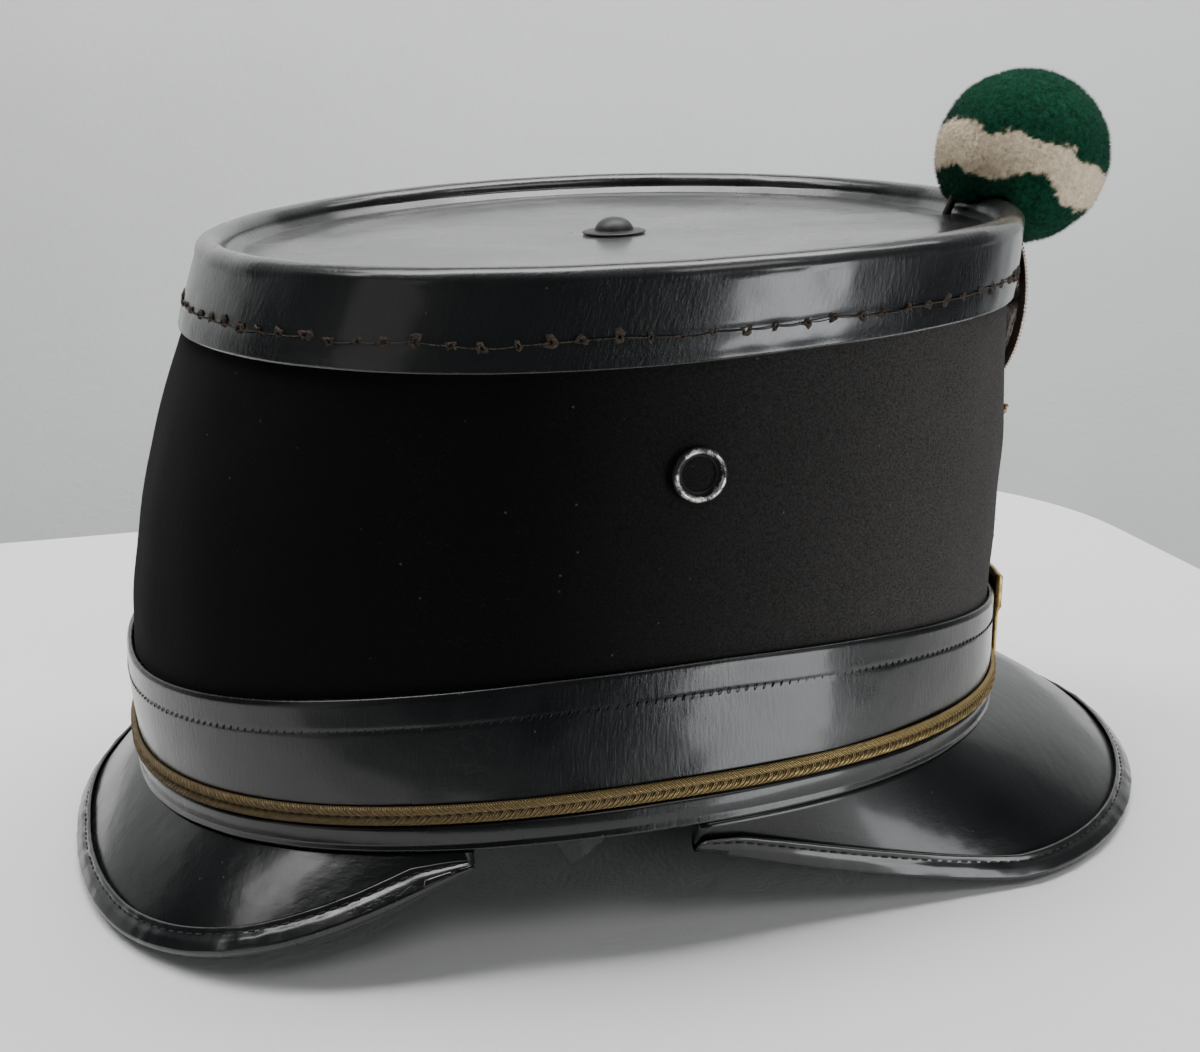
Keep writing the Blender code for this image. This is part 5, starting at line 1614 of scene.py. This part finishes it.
@dataclass
class Pompom:
    """Wool ball: a tufted core with a dense cut pile, green with a ragged cream band."""

    diameter: float = 0.0438
    forward: float = 0.0128
    rise: float = 0.0086
    fibres: int = 40000
    fibre: float = 0.0017
    # Edges of the cream band: turn about the band's axis from the camera's side, and rise over its
    # middle, both in degrees; the far side is a plain ragged band
    upper: tuple[tuple[float, float], ...] = (
        (-180, 2), (-150, -4), (-120, 4), (-95, 4), (-71, 5), (-49, 2), (-34, -6), (-23, -2.5), (-10, -1.4),
        (-6, -5), (9.5, -2), (23, 1), (30, -5.5), (67, -1), (100, 3), (130, -5), (155, 3), (180, 2))
    lower: tuple[tuple[float, float], ...] = (
        (-180, -26), (-150, -32), (-120, -24), (-86, -27), (-59, -27), (-48, -33), (-30, -35), (-17, -32.5),
        (-2.5, -24.5), (8, -22.6), (22, -28), (37, -35), (62, -32), (73, -26), (100, -24), (130, -32),
        (155, -25), (180, -26))
    seen_from: float = 16.0
    slope: float = 18.0

    def centre(self) -> Array:
        """Middle of the ball, forward of the rim's front and above it."""
        front = FORM.rim(np.array([(FORM.cap_outside - FORM.rim_radius, FORM.rim_radius)]),
                         np.array((0.0,)))[0, 0]
        return front + np.array((self.forward, 0.0, self.rise))

    def band_share(self, away: Array) -> Array:
        """How cream the wool is in a direction: 1 between the two ragged edges.

        Args:
            away: unit vectors from the middle.

        Returns:
            Shares from 0 to 1.
        """
        yaw, pitch, tilt = (math.radians(a) for a in (self.seen_from, 16.9, self.slope))
        ahead = np.array((math.sin(yaw) * math.cos(pitch), math.cos(yaw) * math.cos(pitch),
                          -math.sin(pitch)))
        right = np.array((math.cos(yaw), -math.sin(yaw), 0.0))
        above = np.cross(right, ahead)
        side = right * math.cos(tilt) - above * math.sin(tilt)
        axis = right * math.sin(tilt) + above * math.cos(tilt)
        rise = np.degrees(np.arcsin(np.clip(away @ axis, -1, 1)))
        turn = np.degrees(np.arctan2(away @ side, -(away @ ahead)))
        ragged = ripples(away * 0.02, 0.0022, 81) * 1.6
        high = np.interp(turn, *np.array(self.upper).T) + ragged
        low = np.interp(turn, *np.array(self.lower).T) + ragged
        return 1 / (1 + np.exp(-(high - rise) / 0.35)) / (1 + np.exp(-(rise - low) / 0.35))

    def build(self) -> None:
        """Make the core, then the pile that stands on it."""
        centre = self.centre()
        rows, columns = 130, 220
        lift = np.linspace(-math.pi / 2 + 0.012, math.pi / 2 - 0.012, rows)[:, None]
        turn = np.linspace(0, 2 * math.pi, columns, endpoint=False)[None]
        away = np.stack(np.broadcast_arrays(np.cos(lift) * np.cos(turn), np.cos(lift) * np.sin(turn),
                                            np.sin(lift)), -1)
        radius = self.pressed(away) - self.fibre * 0.55
        points = centre + away * radius[..., None]
        core = grid_piece("pompom_core", points, wrap_columns=True)
        self.close_poles(core, rows, columns)
        set_mask(core, "cream", self.band_share(away))
        wool = Wool().make()
        show(core, wool, "green_wool", "pompom")
        rng = np.random.default_rng(91)
        away = unit(rng.normal(size=(self.fibres, 3)))
        root = centre + away * (self.pressed(away) - self.fibre)[:, None]
        stray = rng.normal(0, 0.30, (self.fibres, 3))
        long = self.fibre * rng.uniform(0.70, 1.12, (self.fibres, 1))
        tip = root + unit(away + stray * 0.8) * long
        kept = self.clear_of_cap(tip) & self.clear_of_cap(root)
        points, faces = spikes(root[kept], tip[kept], np.full(kept.sum(), 0.00009))
        pile = mesh_piece("pompom_pile", points, faces)
        set_mask(pile, "cream", np.repeat(self.band_share(away[kept]), 4))
        show(pile, wool, "green_wool")

    @staticmethod
    def close_poles(core: bpy.types.Object, rows: int, columns: int) -> None:
        """Fill the small rings at the top and the bottom of the core."""
        body = bmesh.new()
        body.from_mesh(core.data)
        body.verts.ensure_lookup_table()
        for row in (0, rows - 1):
            ring = [body.verts[row * columns + c] for c in range(columns)]
            body.faces.new(ring if row else ring[::-1]).smooth = True
        bmesh.ops.recalc_face_normals(body, faces=body.faces)
        body.to_mesh(core.data)
        body.free()

    def pressed(self, away: Array) -> Array:
        """Distance of the ball's surface in a direction: round, with soft lumps, stopped by the cap.

        Args:
            away: unit vectors from the middle, any shape ending in 3.

        Returns:
            Radii in metres.
        """
        lumps = ripples(away * 0.022, 0.011, 82) * 0.00012 + ripples(away * 0.022, 0.0035, 83) * 0.00006
        radius = (self.diameter / 2 + lumps).ravel()
        line = away.reshape(-1, 3)
        shares = np.linspace(1.0, 0.45, 23)
        near = np.flatnonzero(line[:, 2] < 0.1)
        free = np.ones(len(near), bool)
        reach = np.full(len(near), shares[-1])
        for share in shares[::-1]:
            clear = self.clear_of_cap(self.centre() + line[near] * (radius[near] * share)[:, None])
            free &= clear
            reach = np.where(free, share, reach)
        radius[near] *= reach
        return radius.reshape(away.shape[:-1])

    def clear_of_cap(self, points: Array) -> Array:
        """Which points lie clear of the cap: over its plate, over its rolled rim or in front of it."""
        angles = np.linspace(-0.8, 0.8, 81)
        shoulder, out = FORM.skin(FORM.shoulder, angles), FORM.outward(FORM.shoulder, angles)
        nearest = np.linalg.norm(points[:, None, :2] - shoulder[None, :, :2], axis=-1).argmin(axis=1)
        apart = points - shoulder[nearest]
        distance, height = (apart * out[nearest]).sum(axis=1), apart[:, 2]
        gap, middle = 0.0002, FORM.cap_outside - FORM.rim_radius
        top = np.sqrt(np.clip((FORM.rim_radius + gap) ** 2 - (distance - middle) ** 2, 0, None))
        top = np.where(distance < middle - FORM.rim_radius, FORM.plate_edge[1] + gap, top)
        return (distance > FORM.cap_outside + gap) | (height > top)


# Floor, light and camera

@dataclass
class Studio:
    """Pale table with round corners, the wall behind it, soft light and the camera."""

    camera_at: tuple[float, float, float] = (-0.1016, -0.3887, 0.1906)
    yaw: float = 16.00
    pitch: float = 16.91
    roll: float = 0.40
    focal: float = 1702.7
    image_width: float = 1200.0
    # Left, right, near and far edge of the table, and its corner's radius
    table: tuple[float, float, float, float, float] = (-0.62, 0.247, -0.155, 0.262, 0.105)
    wall_at: float = 0.62
    wall_top: float = 0.75

    def build(self) -> None:
        """Make the table and wall, the lights and the camera."""
        self.build_floor()
        self.build_lights()
        self.build_camera()

    def build_floor(self) -> None:
        """A round cornered table top, and the wall behind it."""
        left, right, near, far, corner = self.table
        turn = np.linspace(0, math.pi / 2, 17)
        arcs = [(right - corner + corner * np.cos(turn), far - corner + corner * np.sin(turn)),
                (left + corner - corner * np.sin(turn), far - corner + corner * np.cos(turn)),
                (left + corner - corner * np.cos(turn), near + corner - corner * np.sin(turn)),
                (right - corner + corner * np.sin(turn), near + corner - corner * np.cos(turn))]
        line = np.concatenate([np.stack(arc, -1) for arc in arcs])
        middle = line.mean(axis=0)
        # Share of the way in and depth below the top, from the middle over the edge to the underside
        section = ((0.001, 0.0), (0.5, 0.0), (0.990, 0.0), (0.996, 0.0008), (1.0, 0.003), (1.0, 0.018))
        points = np.stack([np.column_stack([middle + (line - middle) * share,
                                            np.full(len(line), -0.0002 - drop)])
                           for share, drop in section])
        table = grid_piece("table_top", points, wrap_columns=True, inside=(0, 0, -0.5))
        table.data.materials.append(self.pale("pale table", (0.78, 0.79, 0.775)))
        across, rise = np.meshgrid(np.linspace(-1.6, 1.9, 9), np.linspace(-0.6, self.wall_top, 5))
        wall_points = np.stack([across, self.wall_at - 0.10 * across, rise], -1)
        wall = grid_piece("wall", wall_points, inside=(0, 5, 0))
        wall.data.materials.append(self.pale("painted wall", (0.74, 0.745, 0.74)))

    @staticmethod
    def pale(name: str, colour: tuple[float, float, float]) -> bpy.types.Material:
        """Pale paint with a faint unevenness."""
        paint = Paint(name, Roughness=0.6, Specular_IOR_Level=0.25)
        grain = paint.effect(Effect.GRAIN, Scale=200.0)
        paint.feed("Base Color", paint.bench.mix(grain.outputs["Patches"], tuple(0.97 * c for c in colour),
                                                 colour))
        paint.bump(paint.bench.times(grain.outputs["Height"], 0.0002))
        return paint.material

    def build_lights(self) -> None:
        """Window and weak fill at the right front, dim opening at the left, ceiling and wash on the wall."""
        world = bpy.data.worlds.new("dim room")
        world.use_nodes = True
        world.node_tree.nodes["Background"].inputs[0].default_value = (0.85, 0.93, 1.0, 1.0)
        world.node_tree.nodes["Background"].inputs[1].default_value = 0.09
        bpy.context.scene.world = world
        self.add_light("window", (0.76, -1.10, -0.10), (0.60, 0.95), 14.0, (0.96, 0.98, 1.0))
        self.add_light("high fill", (0.45, -1.05, 1.35), (0.9, 0.5), 5.0, (1.0, 0.99, 0.97))
        self.add_light("left room", (-1.25, -0.55, 0.25), (0.5, 0.9), 0.7, (1.0, 0.97, 0.93))
        self.add_light("ceiling", (0.0, 0.25, 1.7), (2.2, 0.9), 36.0, (1.0, 1.0, 0.99))
        self.add_light("wall wash", (0.0, 0.05, 0.95), (2.4, 0.3), 15.0, (1.0, 1.0, 1.0), (0.0, 0.75, 0.25))

    @staticmethod
    def add_light(name: str, place: tuple[float, float, float], size: tuple[float, float], power: float,
                  colour: tuple[float, float, float],
                  target: tuple[float, float, float] = (0.0, 0.0, 0.08)) -> None:
        """A soft rectangular light that looks at the hat or at another point.

        Args:
            name: name of the light.
            place: where it stands.
            size: width and height.
            power: watts.
            colour: colour of the light.
            target: the point that it looks at.
        """
        data = bpy.data.lights.new(name, "AREA")
        data.shape, data.size, data.size_y, data.energy, data.color = "RECTANGLE", *size, power, colour
        lamp = bpy.data.objects.new(name, data)
        bpy.context.scene.collection.objects.link(lamp)
        lamp.location = place
        lamp.rotation_euler = (Vector(target) - Vector(place)).to_track_quat("-Z", "Y").to_euler()

    def build_camera(self) -> None:
        """Camera at the fitted place, its axes from yaw, pitch and roll."""
        yaw, pitch, roll = (math.radians(a) for a in (self.yaw, self.pitch, self.roll))
        ahead = np.array((math.sin(yaw) * math.cos(pitch), math.cos(yaw) * math.cos(pitch),
                          -math.sin(pitch)))
        right = np.array((math.cos(yaw), -math.sin(yaw), 0.0))
        down = np.cross(ahead, right)
        across = math.cos(roll) * right + math.sin(roll) * down
        below = -math.sin(roll) * right + math.cos(roll) * down
        place = np.eye(4)
        place[:3, 0], place[:3, 1], place[:3, 2] = across, -below, -ahead
        place[:3, 3] = np.array(self.camera_at) + (FORM.shift, 0.0, 0.0)
        data = bpy.data.cameras.new("camera")
        data.sensor_fit, data.sensor_width = "HORIZONTAL", 36.0
        data.lens = self.focal / self.image_width * 36.0
        data.clip_start, data.clip_end = 0.01, 50.0
        camera = bpy.data.objects.new("camera", data)
        bpy.context.scene.collection.objects.link(camera)
        camera.matrix_world = Matrix(place.tolist())
        bpy.context.scene.camera = camera


def main() -> None:
    """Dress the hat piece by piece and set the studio."""
    logging.basicConfig(level=logging.INFO, format="%(name)s: %(message)s")
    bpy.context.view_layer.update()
    # The pin's colour is a guess, made nearly black as painted shade to read as the shade under the ball
    pin = Metal("wire dark as painted shade", (0.030, 0.028, 0.026), (0.012, 0.011, 0.010), 0.5).make()
    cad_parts["pompom_pin"].data.materials.clear()
    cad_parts["pompom_pin"].data.materials.append(pin)
    FeltBody().build()
    Crown().build()
    Bands().build()
    Peak("front_peak", True, 0.0440, 0.0650, 0.0060, 1.75, 1.35, 0.0055).build()
    Peak("rear_peak", False, 0.0158, 0.0670, -0.0405, 2.40, 1.25, 0.0028).build()
    Fittings().build()
    Pompom().build()
    Studio().build()


if __name__ == "__main__":
    main()
